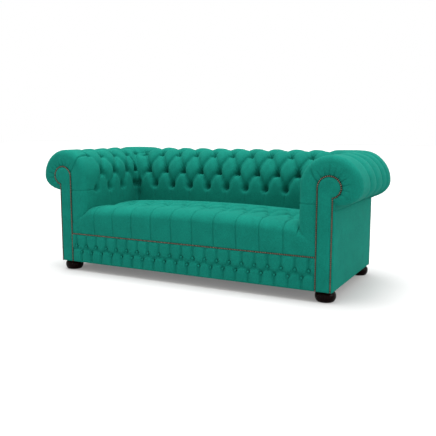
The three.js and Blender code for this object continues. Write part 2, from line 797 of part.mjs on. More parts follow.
// Suspension
for (let i = 0; i < springCount; i++) {
  add(`seat_spring_${i + 1}`, loft(springRings(springX(i))), steel)
}
add('spring_cloth', box(-faceX + fitGap, faceX - fitGap, frontRailSetback, frameOutY - uprightDepth - fitGap,
  clothBottom, clothBottom + clothThickness), cloth)
add('seat_foam', box(-axisX, axisX, seatFallThickness + fitGap, faceY - fitGap,
  foamBottom, foamTop), foam)

// Upholstery
add('seat_pad', loft(seatRings()), fabric)
add('back_pad', loft(backPadRings()), fabric)
add('front_border', loft(borderRings()), fabric)
add('border_nail_trim', loft(borderTrimRings()), brass)
add('outside_back_panel', box(-wallX, wallX, wallY - panelThickness, wallY,
  floorClearance, panelTop - fitGap), fabric)
add('dust_cover', dustCover(), cloth)

export default sofa
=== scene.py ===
"""A chesterfield sofa in emerald velvet: tufted pads, nail trim, turned feet and a pale studio."""
import json
from math import acos, asin, cos, pi, radians, sin, sqrt

import bmesh
import bpy
import numpy as np
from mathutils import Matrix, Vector


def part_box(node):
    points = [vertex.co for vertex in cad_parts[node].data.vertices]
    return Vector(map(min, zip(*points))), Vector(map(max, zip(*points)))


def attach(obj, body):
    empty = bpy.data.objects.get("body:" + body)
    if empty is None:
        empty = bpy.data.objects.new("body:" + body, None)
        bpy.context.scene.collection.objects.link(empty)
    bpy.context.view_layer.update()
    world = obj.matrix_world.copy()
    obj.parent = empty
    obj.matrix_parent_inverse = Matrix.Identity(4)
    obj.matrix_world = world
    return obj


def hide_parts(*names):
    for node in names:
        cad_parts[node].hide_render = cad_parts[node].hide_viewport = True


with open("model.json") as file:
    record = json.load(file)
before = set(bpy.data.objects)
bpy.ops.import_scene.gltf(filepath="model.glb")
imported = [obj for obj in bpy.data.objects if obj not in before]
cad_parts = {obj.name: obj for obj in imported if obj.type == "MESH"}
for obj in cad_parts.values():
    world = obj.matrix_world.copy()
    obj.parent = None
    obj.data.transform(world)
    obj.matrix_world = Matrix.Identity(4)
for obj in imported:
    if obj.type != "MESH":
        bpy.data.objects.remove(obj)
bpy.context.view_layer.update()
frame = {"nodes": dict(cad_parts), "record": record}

# Places taken from the frame, in metres
FACING_LOW, FACING_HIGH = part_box("right_facing")
TRIM_LOW, TRIM_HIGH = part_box("border_nail_trim")
ARM_LOW, ARM_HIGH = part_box("right_arm_pad")
SIDE_LOW, SIDE_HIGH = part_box("right_outside_arm_panel")
FOOT_LOW, FOOT_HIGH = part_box("right_front_foot")
BORDER_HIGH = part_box("front_border")[1]
BACK_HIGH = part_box("back_pad")[1]
SEAT_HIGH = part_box("seat_pad")[1]
FOAM_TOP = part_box("seat_foam")[1].z

SIDES = (("right", 1), ("left", -1))
FLIP = np.array([-1.0, 1.0, 1.0])
CLEARANCE = 0.0003
NAIL_PLANE = TRIM_HIGH.y
FRONT_EDGE = NAIL_PLANE + 0.001
SCROLL_RADIUS = 0.0655
SCROLL_CURL = 0.010
SCROLL_X = FACING_HIGH.x - SCROLL_RADIUS
SCROLL_Z = FACING_HIGH.z - SCROLL_RADIUS
STEM_IN = FACING_LOW.x
STEM_WIDTH = 0.085
STEM_OUT = STEM_IN + STEM_WIDTH
HEAD_END_RADIUS = SCROLL_RADIUS - SCROLL_CURL
HEAD_END = -acos((STEM_OUT - SCROLL_X) / HEAD_END_RADIUS)
ROLL_RADIUS = ARM_HIGH.x - SCROLL_X
ROLL_TOP = SCROLL_Z + ROLL_RADIUS
SCROLL_REACH = 0.168
INSIDE_X = SCROLL_X - SCROLL_REACH
INSIDE_Y = BACK_HIGH.y - ROLL_RADIUS - SCROLL_REACH
WALL_REACH = SIDE_HIGH.x - INSIDE_X
PANEL_TOP = SIDE_HIGH.z
PAD_BOTTOM = ARM_LOW.z
FLOOR_GAP = FACING_LOW.z
BORDER_TOP = BORDER_HIGH.z
CORNER_RADIUS = 0.04
AXIS_X = INSIDE_X - CORNER_RADIUS
AXIS_Y = INSIDE_Y - CORNER_RADIUS
CORNER_FULLNESS_SHARE = 0.05
FACE_LEADS = (0.007, 0.032)
CURVE_HEIGHTS = (0.175, 0.300)
LINING_SIDES = 8

# Tufting of the arms and back. The rows of buttons are counted from the lowest.
ARM_FIRST = 0.140
ARM_BUTTONS = 4
BACK_PITCH = 0.1445
BACK_BUTTONS = 4
MIDLINE = 0.02
END_BUTTON = (4.903, 2)
TOP_ROW = 2
ROW_HEIGHTS = tuple(SCROLL_Z + rise for rise in (-0.090, 0.022, 0.140))
PLAIN_TOP = ROW_HEIGHTS[0] - 0.082
PLAIN_FADE = (0.05, 0.07)
ROW_SPACING = 0.116
NEIGHBOURS = (-1, 0, 1, 2)
FOLD_WIDTH = 0.024
FOLD_LOWER_SHARE = 0.36
FOLD_BOW_SHARE = 0.28
FOLD_LIMIT = 1.6
LAST_FOLD_ROW = 3
ARM_FOLDS = (0.010, 0.017, 0.015, 0.012)
BACK_FOLDS = (0.021, 0.023, 0.017, 0.011)
JUNCTION_RISE = 0.024
JUNCTION_FADE_ROWS = (0.18, 0.25)
TUFTS_FADE_RUNS = (0.02, 0.55)
BULLNOSE = 0.042

# Upright pleats under the lowest buttons and over the highest: distances from them, and strengths there
PLEATS_DOWN = ((0, 0.02, 0.05, 0.16), (1.0, 0.45, 0.15, 0.08))
PLEATS_UP = ((0, 0.06, 0.18, 0.40), (1.0, 0.80, 0.65, 0.35))
# Rounding between the pleats of the roll: rows, and shares there
PUFF_DEPTH = 0.013
PUFF_SHARES = ((2.3, 2.9, 3.3, 6.5), (0, 0.75, 1, 0.6))
PUFF_ROUNDNESS = 1.96
CALM_SHARE = 0.75
CALM_REACH = 0.05
CALM_ROWS = (2.3, 0.5)
CORNER_PUFF = 0.018
CORNER_ROWS = (2.6, 1.5)
CORNER_POWER = 0.35

# Creases along the folds: rows, and depths there. Other creases have a depth and a width.
CREASE_DEPTHS = ((-1, 0, 2, 2.8, 3.3, 7), (0.0050, 0.0060, 0.0055, 0.0040, 0.0100, 0.0085))
CREASE_WIDTH = 0.0042
LIP = (0.0078, 0.0036)
LIP_AWAY = 0.0125
LIP_ARM_SHARE = 0.5
LOW_CREASE = (0.0050, 0.0036)
TOP_CREASE = (0.0085, 0.0044)
RAY = (0.0055, 0.0036)
RAY_ANGLES = (-30, 0, 30)
RAY_RISE = (0.004, 0.010)
RAY_FALL = (0.062, 0.030)
RAYED_ROWS = (1, 2)

# Wells round the buttons of each row: depth, and reach to the sides, up and down
ARM_WELLS = ((0.036, 0.020, 0.028, 0.014), (0.042, 0.020, 0.030, 0.014), (0.026, 0.015, 0.015, 0.012))
BACK_WELLS = ((0.042, 0.017, 0.027, 0.015), (0.045, 0.016, 0.025, 0.013), (0.020, 0.014, 0.018, 0.012))
WELL_ROOM_SHARE = 0.6
WELL_POWER = 2.1
WELL_BOW = 0.7
MITRE_WELL = 0.014
FOLD_FADE = 0.045
WELL_FADE = 0.012
# Fold where two pads meet: rows, and depths there
MITRE_DEPTHS = ((-1, 0, 2, 3, 5), (0.016, 0.018, 0.009, 0.001, 0.0))
MITRE_WIDTH = 0.014
MITRE_POWER = 1.2

# Rounded fronts of the arms
BELLY = 0.004
BELLY_POWERS = (0.8, 5)
SHORTEST = 1e-6
WING_CREASE = (0.0020, 0.005)
WING_TOP = 0.43
WING_FADE = 0.03
# Top edge of the seat where it runs on over an arm: shares of the way to the facing, and heights
WING_TOPS = ((0.0, 0.21, 0.49, 0.78, 1.0), (0.406, 0.392, 0.375, 0.356, 0.333))
WING_DEPTH = 0.018
WING_POWER = 0.8
FAR_BACK = 1.0
FACE_TURN = 3.0
NO_RUN = -9.0
GATHER_ANGLES = (128, 108, 90, 72, 50, 31, 12, -7, -25, -44)
GATHER_LENGTHS = (0.072, 0.060, 0.076, 0.058, 0.080, 0.062, 0.078, 0.060, 0.070, 0.056)
GATHER_DEPTH = 0.0044
GATHER_WIDTHS = (0.0026, 0.0036)
GATHER_FADE_SHARE = 0.4
LONG_GATHER_ANGLES = (154.0, 131.5)
NAIL_FADE = 0.004
NAIL_FADE_SHARE = 0.4
FORWARD_DROP_ROWS = 0.10
FORWARD_RUNS = 0.72
FORWARD_FADE_RUNS = 0.06

# Seat
SEAT_PITCH = 0.1463
SEAT_PANELS = 10
SEAT_ROWS = (0.178, 0.320, 0.450)
SEAT_ROW_STEP = SEAT_ROWS[1] - SEAT_ROWS[0]
SEAT_LEVEL = 0.456
SEAT_CROWN = 0.026
SEAT_SIDE_ROUND = 0.062
SEAT_SIDE_DROP = 0.018
SEAT_LEAD = 0.008
SEAT_CURVE_DEPTH = 0.090
SEAT_CURVE_SHARE = 0.32
SEAT_BACK_DROP = 0.016
SEAT_FALL_THICKNESS = 0.060
SEAT_FOLD = 0.018
SEAT_FOLD_WIDTH = 0.020
SEAT_LOWER_SHARE = 0.9
SEAT_BOW_SHARE = 0.3
SEAT_PLEATS_DOWN = ((0, 0.01), (0.5, 0.0))
SEAT_PLEATS_UP = ((0, 0.10), (0.6, 0.2))
SEAT_CREASE = (0.0028, 0.0040)
SEAT_WELL = (0.020, 0.027, 0.029, 0.024)
SEAT_BUTTON_HEIGHT = 0.0040
SEAT_BUTTON_MARGIN = 0.03
SEAM_CREASE = (0.0052, 0.0030)
SEAM_PUFF = 0.0024
SEAM_POWER = 0.6
SEAM_END_ROWS = 0.45
REAR_FOLD_SHARE = 0.45
REAR_FOLD_ROWS = 0.9
REAR_WELL_SHARE = 0.6
REAR_WELL_ROWS = 0.6
SEAT_FOOT_FADE = 0.01
SEAT_SIDE_FADE = 0.012
FALL_ROW = -2

# Border
BORDER_PITCH = 0.081
BORDER_HALF = 10
BORDER_ROW_SHARES = (0.366, 0.584)
BORDER_LEAD = 0.008
BORDER_ROUNDS = (0.014, 0.024)
BORDER_FOLD = 0.011
BORDER_FOLD_WIDTH = 0.0105
BORDER_LOWER_SHARE = 0.9
BORDER_BEND_SHARE = 0.7
BORDER_PLEATS = ((0, 0.10), (1.0, 1.0))
BORDER_CREASE = (0.0034, 0.0028)
BORDER_WELL = (0.007, 0.0095, 0.0095, 0.0095)
BORDER_DEEPEST = 0.017
BORDER_FADE = 0.006

# Buttons and nails
BUTTON_RADIUS = 0.0085
BUTTON_HEIGHT = 0.005
BUTTON_FOOT = 0.003
BORDER_BUTTON = (0.0072, 0.0060, 0.0125)
NAIL_RADIUS = 0.0036
NAIL_HEIGHT = 0.0034
NAIL_PITCH = 0.0104
NAIL_END_SHARE = 0.7
# The nails stand on a near-black strip, which is painted shade in the gaps between the heads: its half width,
# rise and edges
NAIL_BAND = 0.0038
SHADE_STRIP_RISE = 0.0018
NAIL_LINE_MIDDLE = (TRIM_LOW.z + TRIM_HIGH.z) / 2
SHADE_STRIP_TOP = NAIL_LINE_MIDDLE + NAIL_BAND
SHADE_STRIP_FOOT = SHADE_STRIP_TOP - 2 * NAIL_BAND

# Facings, outside panels and feet
FACING_CROWN = 0.0105
CROWN_REACH = 0.030
CROWN_POWERS = (2.4, 0.8)
CROWN_FOOT = 0.012
NECK_SHARE = 1.5
SPINE_JOIN = 0.0022
SLIVER = 0.0001
PANEL_CROWN = 0.003
PANEL_CROWN_POWER = 0.5
PANEL_ROUND = 0.012
PANEL_SETBACK = 0.004
PANEL_NOSE = 0.0045
FOOT_BASE_RADIUS = 0.047
FOOT_NECK_RADIUS = 0.040
FOOT_BELLY_HEIGHT = 0.033
FOOT_POWER = 2.4

# Fineness of the meshes
MESH_STEP = 0.0042
FACE_STEP = MESH_STEP * 1.2
FOLD_SAMPLES = 27
PLEAT_STEP = 0.006
CREST_SAMPLES = 26
ROLL_SAMPLES = 60
UNDER_SAMPLES = 24
WALL_SAMPLES = 9
ARM_CORNER_SAMPLES = 49
BACK_CORNER_SAMPLES = 43
FRONT_SAMPLES = 41
EDGE_STEP_RUNS = 0.03
SEAT_FALL_SAMPLES = 22
SEAT_BEND_SAMPLES = 34
SEAT_TOP_SAMPLES = 104
SEAT_SIDE_SAMPLES = 9
BORDER_STEP = 0.0031
BORDER_TUFT_STEP = 0.0030
BORDER_END_RUNS = 0.04
FACING_STEP = 0.004
FACING_RINGS = 16
PANEL_SAMPLES = (44, 30)
FOOT_SAMPLES = 25
FOOT_SIDES = 72
BUTTON_SIDES, BUTTON_RINGS = 16, 5
NAIL_SIDES, NAIL_RINGS = 12, 4
RUN_PULL_SHARE = 0.45
LEVEL_PULL_SHARE = 0.4
END_PULL_SHARE = 0.9

# Camera of the photograph, and the studio
CAMERA_PLACE = (1.8679, NAIL_PLANE - 3.1111, 0.9386)
CAMERA_YAW = 27.46
CAMERA_PITCH = 8.29
CAMERA_LENS = 50.21
SENSOR = 36.0
STRIP_PLACE = Vector((-0.6, -3.4, 1.3))
STRIP_TARGET = Vector((0.2, -0.45, 0.05))
FLOOR_REACH = 30.0


# Small helpers
def lerp(a, b, t):
    return a + (b - a) * t


def clamp01(t):
    return np.clip(t, 0.0, 1.0)


def eased(t):
    t = clamp01(t)
    return t * t * (3 - 2 * t)


def quarter_round(t):
    """Share of a quarter circle that rises upright from 0 and levels out at 1."""
    return np.sqrt(1 - (1 - clamp01(t)) ** 2)


def ridge(distance, width):
    return np.exp(-(distance / width) ** 2)


def crease(distance, shape):
    """Depth of a narrow crease by the distance from it. The shape is its depth and width."""
    depth, width = shape
    return depth * ridge(distance, width)


def off_whole(value):
    return np.abs(value - np.round(value))


def drawn_in(shares, pull):
    """Shares that stand closer together near the whole numbers."""
    return shares - pull * np.sin(2 * pi * shares) / (2 * pi)


def spread(low, high, step):
    """Evenly spaced places from low to high, about a step apart."""
    count = max(2, int(round(abs(high - low) / step)) + 1)
    return np.linspace(low, high, count)


def onward(low, high, count):
    """Evenly spaced places from low to high, without the first one."""
    return np.linspace(low, high, count)[1:]


def xyz(x, y, z):
    """Points from their coordinates, each of which may be one number for all."""
    return np.stack(np.broadcast_arrays(x, y, z), -1)


def across_columns(grid):
    """Distance along each row of a grid, from its first column."""
    steps = np.linalg.norm(np.diff(grid, axis=0), axis=-1)
    return np.concatenate([np.zeros((1, grid.shape[1])), np.cumsum(steps, 0)])


def surface_normals(grid):
    """Unit normals of a grid of points, pointing to the side that cross(along, around) gives."""
    normal = np.cross(np.gradient(grid, axis=0), np.gradient(grid, axis=1))
    return normal / np.maximum(np.linalg.norm(normal, axis=-1, keepdims=True), 1e-12)


# Meshes
def linked(name, data):
    """New object in the scene, from its mesh, lamp or camera."""
    obj = bpy.data.objects.new(name, data)
    bpy.context.scene.collection.objects.link(obj)
    return obj


def add_mesh(name, points, faces, slot, material=None):
    mesh = bpy.data.meshes.new(name)
    mesh.from_pydata([tuple(p) for p in points], [], faces)
    mesh.validate()
    mesh.update()
    mesh.polygons.foreach_set("use_smooth", [True] * len(mesh.polygons))
    mesh.materials.append(material or MATERIALS[slot])
    obj = linked(name, mesh)
    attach(obj, "root")
    return obj


def ring_faces(columns, count):
    """Quads of a closed tube of rings, with a face over each end."""
    c, v = np.meshgrid(np.arange(columns - 1), np.arange(count), indexing="ij")
    after = (v + 1) % count
    quads = np.stack([c * count + v, (c + 1) * count + v, (c + 1) * count + after, c * count + after], -1)
    faces = quads.reshape(-1, 4).tolist()
    faces.append(list(range(count)))
    faces.append(list(range(columns * count - 1, (columns - 1) * count - 1, -1)))
    return faces


def level_faces(start, levels, sides):
    """Quads between the round levels of a turned shape, whose points begin at start."""
    faces = []
    for level in range(levels - 1):
        for k in range(sides):
            a, b = start + level * sides + k, start + level * sides + (k + 1) % sides
            faces.append((a, b, b + sides, a + sides))
    return faces


def closed_pad(name, outer, lining, node):
    """Padded cover in the place of a solid, between an outer grid and a coarse lining."""
    rings = np.concatenate([outer, lining], axis=1)
    pad = add_mesh(name, rings.reshape(-1, 3), ring_faces(*rings.shape[:2]), "cover")
    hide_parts(node)


def domes(name, places, normals, radius, height, slot, sides, rings, foot=0.0):
    """Low round heads standing on a surface, joined in one mesh."""
    points, faces = [], []
    profile = [(cos(t), height * sin(t)) for t in np.linspace(0, pi / 2, rings + 1)[:-1]]
    levels = [(1.0, -foot), *profile]
    for place, normal in zip(places, normals):
        up = Vector(normal).normalized()
        side = up.orthogonal().normalized()
        other = up.cross(side)
        start = len(points)
        for reach, rise in levels:
            for k in range(sides):
                turn = 2 * pi * k / sides
                flat = side * cos(turn) + other * sin(turn)
                points.append(Vector(place) + flat * radius * reach + up * rise)
        points.append(Vector(place) + up * height)
        top = len(points) - 1
        last = top - sides
        faces += level_faces(start, len(levels), sides)
        faces.extend((last + k, last + (k + 1) % sides, top) for k in range(sides))
        faces.append(tuple(start + k for k in reversed(range(sides))))
    return add_mesh(name, points, faces, slot)


# Materials
def set_sockets(node, sockets):
    for name, value in sockets.items():
        node.inputs[name].default_value = value


class Look:
    """A material in the making. Sockets are given by name."""

    def __init__(self, name, sockets):
        self.material = bpy.data.materials.new(name)
        self.material.use_nodes = True
        self.nodes = self.material.node_tree.nodes
        self.links = self.material.node_tree.links
        self.shader = self.nodes["Principled BSDF"]
        set_sockets(self.shader, sockets)

    def texture(self, kind, sockets, stretch=None):
        """Strength of a texture over the piece, stretched along its axes."""
        place = self.nodes.new("ShaderNodeTexCoord").outputs["Object"]
        if stretch:
            mapping = self.nodes.new("ShaderNodeMapping")
            mapping.inputs["Scale"].default_value = stretch
            self.links.new(place, mapping.inputs["Vector"])
            place = mapping.outputs["Vector"]
        node = self.nodes.new(f"ShaderNodeTex{kind}")
        set_sockets(node, sockets)
        self.links.new(place, node.inputs["Vector"])
        return node.outputs["Fac"]

    def noise(self, scale, detail, roughness=0.6, stretch=None):
        return self.texture("Noise", {"Scale": scale, "Detail": detail, "Roughness": roughness}, stretch)

    def math(self, operation, *values):
        """Result of an operation on numbers or other results."""
        node = self.nodes.new("ShaderNodeMath")
        node.operation = operation
        for socket, value in zip(node.inputs, values):
            if isinstance(value, float):
                socket.default_value = value
            else:
                self.links.new(value, socket)
        return node.outputs[0]

    def paint(self, source, *stops):
        """Colours the shader along a source, by places on it and the colours there."""
        node = self.nodes.new("ShaderNodeValToRGB")
        elements = node.color_ramp.elements
        for element, (place, colour) in zip(elements, (stops[0], stops[-1])):
            element.position = place
            element.color = (*colour, 1)
        for place, colour in stops[1:-1]:
            elements.new(place).color = (*colour, 1)
        self.links.new(source, node.inputs["Fac"])
        self.links.new(node.outputs["Color"], self.shader.inputs["Base Color"])

    def emboss(self, source, strength, distance):
        """Raises the finest grain of the surface."""
        node = self.nodes.new("ShaderNodeBump")
        set_sockets(node, {"Strength": strength, "Distance": distance})
        self.links.new(source, node.inputs["Height"])
        self.links.new(node.outputs["Normal"], self.shader.inputs["Normal"])


def velvet():
    """Emerald wool velvet: a short nap with slow mottling, small flecks and a soft sheen."""
    look = Look("emerald_velvet", {
        "Roughness": 0.9, "Specular IOR Level": 0.03,
        "Sheen Weight": 0.04, "Sheen Roughness": 0.5, "Sheen Tint": (0.20, 0.95, 0.80, 1),
    })
    mottle = look.noise(11.0, 5.0, 0.65)
    flecks = look.noise(220.0, 3.0, 0.7)
    mixed = look.math("MULTIPLY_ADD", flecks, 0.75, look.math("MULTIPLY", mottle, 0.25))
    look.paint(mixed, (0.36, (0.0034, 0.108, 0.081)), (0.50, (0.0046, 0.143, 0.107)),
               (0.64, (0.0061, 0.179, 0.134)))
    look.emboss(flecks, 0.30, 0.0008)
    return look.material


def polished_wood():
    """Near black mahogany under polish, with a faint red grain."""
    look = Look("polished_mahogany", {"Roughness": 0.05, "Specular IOR Level": 0.05})
    grain = look.texture("Wave", {"Scale": 40.0, "Distortion": 6.0, "Detail": 3.0}, (1.0, 1.0, 0.2))
    look.paint(grain, (0.0, (0.0020, 0.0004, 0.0003)), (1.0, (0.0050, 0.0010, 0.0007)))
    return look.material


def bare_wood():
    """Planed beech of the frame."""
    look = Look("planed_beech", {"Roughness": 0.6})
    grain = look.noise(6.0, 6.0, 0.5, (1.0, 12.0, 12.0))
    look.paint(grain, (0.3, (0.36, 0.22, 0.11)), (0.7, (0.52, 0.35, 0.19)))
    look.emboss(grain, 0.2, 0.0005)
    return look.material


def antique_brass():
    """Brown brass of the nail heads, lighter and darker in small spots at random."""
    look = Look("antique_brass", {"Metallic": 0.75, "Roughness": 0.38})
    look.paint(look.noise(260.0, 3.0), (0.35, (0.080, 0.052, 0.036)), (0.7, (0.290, 0.200, 0.142)))
    return look.material


def nail_shade_strip():
    """Near-black strip under the nail heads: painted shade in the gaps between them."""
    look = Look("nail_shade_strip", {"Roughness": 0.8, "Specular IOR Level": 0.1})
    look.paint(look.noise(900.0, 2.0), (0.3, (0.003, 0.006, 0.004)), (0.7, (0.008, 0.014, 0.010)))
    return look.material


def steel_wire():
    look = Look("spring_steel", {"Metallic": 0.9, "Roughness": 0.35})
    look.paint(look.noise(180.0, 2.0), (0.3, (0.32, 0.33, 0.35)), (0.7, (0.5, 0.51, 0.53)))
    return look.material


def soft_foam():
    look = Look("open_foam", {"Roughness": 0.95})
    cells = look.noise(400.0, 2.0)
    look.paint(cells, (0.3, (0.62, 0.54, 0.30)), (0.7, (0.82, 0.75, 0.48)))
    look.emboss(cells, 0.6, 0.001)
    return look.material


def lining_cloth():
    """Thin black cloth, plain woven."""
    look = Look("lining_cloth", {"Roughness": 0.9})
    threads = [look.texture("Wave", {"Scale": 260.0}) for _ in range(2)]
    for thread, direction in zip(threads, ("X", "Y")):
        thread.node.bands_direction = direction
    weave = look.math("MULTIPLY", *threads)
    look.paint(weave, (0.0, (0.008, 0.008, 0.009)), (1.0, (0.035, 0.035, 0.038)))
    look.emboss(weave, 0.5, 0.0004)
    return look.material


def pale_floor():
    look = Look("pale_floor", {
        "Roughness": 0.8, "Specular IOR Level": 0.0,
        "Emission Color": (1, 1, 1, 1), "Emission Strength": 0.16,
    })
    look.paint(look.noise(0.8, 2.0), (0.3, (0.44, 0.44, 0.44)), (0.7, (0.46, 0.46, 0.46)))
    return look.material


MATERIALS = {
    "cover": velvet(), "foot_wood": polished_wood(), "frame_wood": bare_wood(), "nail_metal": antique_brass(),
    "steel": steel_wire(), "foam": soft_foam(), "lining": lining_cloth(),
}
# Painted shade for the gaps between the nail heads
NAIL_GAP_SHADE = nail_shade_strip()


def dress_nodes():
    """Gives each CAD node the material of its slot."""
    slots = {part["node"]: part["material_slot"] for part in frame["record"]["subparts"]}
    for name, node in frame["nodes"].items():
        node.data.materials.clear()
        node.data.materials.append(MATERIALS[slots[name]])


# Tufts
def arched(bow):
    """Course of a fold from a button to one above, as shares across and up, that rounds off as it rises."""
    share = np.linspace(0, 1, FOLD_SAMPLES)
    return share, lerp(share, np.sin(share * pi / 2), bow)


def scalloped(bend):
    """Course of a fold that leaves both of its buttons upright and runs flatter between them."""
    share = np.linspace(0, 1, FOLD_SAMPLES)
    return lerp(share, eased(share), bend), drawn_in(share, -bend)


def fold_points(pitch, spacing, last_row, course, down, up):
    """Points along the folds round one button of the lowest row, as (across, up), and their weights.

    A fold runs from each button to the next ones above. Down and up give the strength of the upright
    pleats under the lowest row and over the highest, as distances and strengths.
    """
    share, rise = course
    lines = []
    for row in range(last_row):
        for k in NEIGHBOURS:
            for way in (-0.5, 0.5):
                across = (k + 0.5 * (row % 2) + way * share) * pitch
                lines.append((across, (row + rise) * spacing, np.ones(share.shape)))
    for row, sign, (reach, strength) in ((0, -1, down), (last_row, 1, up)):
        for k in NEIGHBOURS:
            away = spread(0, reach[-1], PLEAT_STEP)
            across = np.full(away.shape, (k + 0.5 * (row % 2)) * pitch)
            lines.append((across, row * spacing + sign * away, np.interp(away, reach, strength)))
    places, weights = [], []
    for across, height, strength in lines:
        length = np.hypot(np.gradient(across), np.gradient(height))
        places.append(np.stack([across, height], -1))
        weights.append(length * strength)
    return np.concatenate(places), np.concatenate(weights)


def fold_field(runs, rows, pitch, spacing, folds, width, lower_share):
    """Depth share of the valleys, distance to the nearest fold, and whether that fold is below."""
    places, weights = folds
    valleys, nearest, over = (np.zeros(rows.shape) for _ in range(3))
    for c, run in enumerate(runs):
        aside = off_whole(run) * pitch - places[None, :, 0]
        above = rows[c][:, None] * spacing - places[None, :, 1]
        tall = np.where(above > 0, width, width * lower_share)
        valleys[c] = np.exp(-(aside / width) ** 2 - (above / tall) ** 2) @ weights / (sqrt(pi) * width)
        apart = aside ** 2 + above ** 2
        closest = np.argmin(apart, 1)
        order = np.arange(len(closest))
        nearest[c] = np.sqrt(apart[order, closest])
        over[c] = above[order, closest] > 0
    return valleys, nearest, over


def rays(aside, up):
    """Small creases that fan out above a button."""
    deepest = np.zeros(up.shape)
    for degrees in RAY_ANGLES:
        lean = radians(degrees)
        out = aside * sin(lean) + up * cos(lean)
        off = aside * cos(lean) - up * sin(lean)
        length = eased((out - RAY_RISE[0]) / RAY_RISE[1]) * eased((RAY_FALL[0] - out) / RAY_FALL[1])
        deepest = np.maximum(deepest, crease(off, RAY) * length)
    return deepest


def button_dents(grid, runs, rows, along, buttons, shapes, rayed_rows):
    """Depth of the wells and of the small creases above them."""
    across = across_columns(grid)
    wells = np.zeros(rows.shape)
    creases = np.zeros(rows.shape)
    for button_run, row in buttons:
        column = int(np.argmin(np.abs(runs - button_run)))
        aside = across - across[column][None, :]
        up = along - np.interp(row, rows[column], along[column])
        bow = WELL_BOW * np.abs(aside) if row in rayed_rows else 0.0
        depth, side, above, below = shapes[row][column]
        reach = np.hypot(aside / side, (up + bow) / np.where(up + bow > 0, above, below))
        wells = np.maximum(wells, depth * np.exp(-reach ** WELL_POWER))
        if row in rayed_rows:
            creases = np.maximum(creases, rays(aside, up))
    return wells + creases


def dense_runs(low, high, per_half):
    """Runs from low to high, closer together at the buttons and folds, which lie on whole and half runs."""
    halves = np.arange(round(low * 2 * per_half), round(high * 2 * per_half) + 1) / per_half
    return drawn_in(halves, RUN_PULL_SHARE) / 2


def dense_levels(low, high, step):
    """Levels from one row of buttons up to the next, closer together at both rows."""
    shares = np.linspace(0, 1, int(round((high - low) / step)) + 1)
    return lerp(low, high, drawn_in(shares, LEVEL_PULL_SHARE))


# Outline of a pad, from under the seat up its face, over the roll and under it to the outside panel
def outline(rake, wall):
    """Points (u, z), row of buttons and distance along, with u measured out from the inside face."""
    lead = lerp(*FACE_LEADS, rake)
    curve = lerp(*CURVE_HEIGHTS, rake)
    start = ROLL_TOP - curve
    row_c, row_b, row_a = ROW_HEIGHTS
    z_face = np.concatenate([
        spread(PAD_BOTTOM, row_c, FACE_STEP)[:-1],
        dense_levels(row_c, row_b, MESH_STEP)[:-1],
        dense_levels(row_b, row_a, MESH_STEP),
    ])
    rows_face = np.interp(z_face, ROW_HEIGHTS, [0, 1, 2])
    rows_face = np.where(z_face < row_c, (z_face - row_c) / (row_b - row_c), rows_face)
    crest = onward(asin((row_a - start) / curve), pi / 2, CREST_SAMPLES)
    turns = np.concatenate([np.arcsin(np.clip((z_face - start) / curve, 0, 1)), crest])
    roll = onward(pi / 2, 0, ROLL_SAMPLES)
    under = onward(0, pi / 2, UNDER_SAMPLES)
    rest = onward(1, 0, WALL_SAMPLES)
    under_width = SCROLL_REACH + ROLL_RADIUS - wall
    drop = SCROLL_Z - PANEL_TOP - JUNCTION_RISE
    u = np.concatenate([
        SCROLL_REACH - (SCROLL_REACH + lead) * np.cos(turns), SCROLL_REACH + ROLL_RADIUS * np.cos(roll),
        wall + under_width * np.cos(under), np.full(rest.shape, wall),
    ])
    z = np.concatenate([
        z_face, start + curve * np.sin(crest), SCROLL_Z + ROLL_RADIUS * np.sin(roll),
        SCROLL_Z - drop * np.sin(under), PANEL_TOP + JUNCTION_RISE * rest,
    ])
    along = np.concatenate([[0], np.cumsum(np.hypot(np.diff(u), np.diff(z)))])
    last_face = len(rows_face) - 1
    beyond = TOP_ROW + (along[last_face:] - along[last_face]) / ROW_SPACING
    return u, z, np.concatenate([rows_face[:-1], beyond]), along


def arm_station(y):
    return {"x": INSIDE_X, "y": y, "out": (1.0, 0.0), "rake": 0.0, "wall": WALL_REACH, "full": 1.0}


def back_station(x):
    return {"x": x, "y": INSIDE_Y, "out": (0.0, 1.0), "rake": 1.0, "wall": WALL_REACH, "full": 1.0}


def corner_station(angle):
    out = (cos(angle), sin(angle))
    full = 1 + CORNER_FULLNESS_SHARE * sin(2 * angle) ** 2
    return {
        "x": AXIS_X + CORNER_RADIUS * out[0], "y": AXIS_Y + CORNER_RADIUS * out[1], "out": out,
        "rake": angle / (pi / 2), "full": full,
        "wall": ((WALL_REACH + CORNER_RADIUS) / max(out) - CORNER_RADIUS) / full,
    }


def place_outline(station, u, z):
    reach = u * station["full"]
    return xyz(station["x"] + station["out"][0] * reach, station["y"] + station["out"][1] * reach, z)


def lining(station):
    """Coarse inner outline of a pad, round the scroll board and top rail."""
    radius = (SCROLL_RADIUS + CLEARANCE) / cos(pi / LINING_SIDES)
    turns = np.radians((np.arange(LINING_SIDES - 2) - 1.5) * 360 / LINING_SIDES)
    thick = (SIDE_HIGH.x - SIDE_LOW.x) / max(station["out"]) / station["full"]
    stem = STEM_IN - INSIDE_X - CLEARANCE
    u = [station["wall"] - thick, *(SCROLL_REACH + radius * np.cos(turns)), stem]
    z = [PANEL_TOP + CLEARANCE, *(SCROLL_Z + radius * np.sin(turns)), PAD_BOTTOM]
    return place_outline(station, np.array(u), np.array(z))


def fold_depth(rows, rakes):
    """Depth of the folds, by row of buttons and by rake."""
    levels = range(LAST_FOLD_ROW + 1)
    held = np.clip(rows, 0, LAST_FOLD_ROW)
    return lerp(np.interp(held, levels, ARM_FOLDS), np.interp(held, levels, BACK_FOLDS), rakes[:, None])


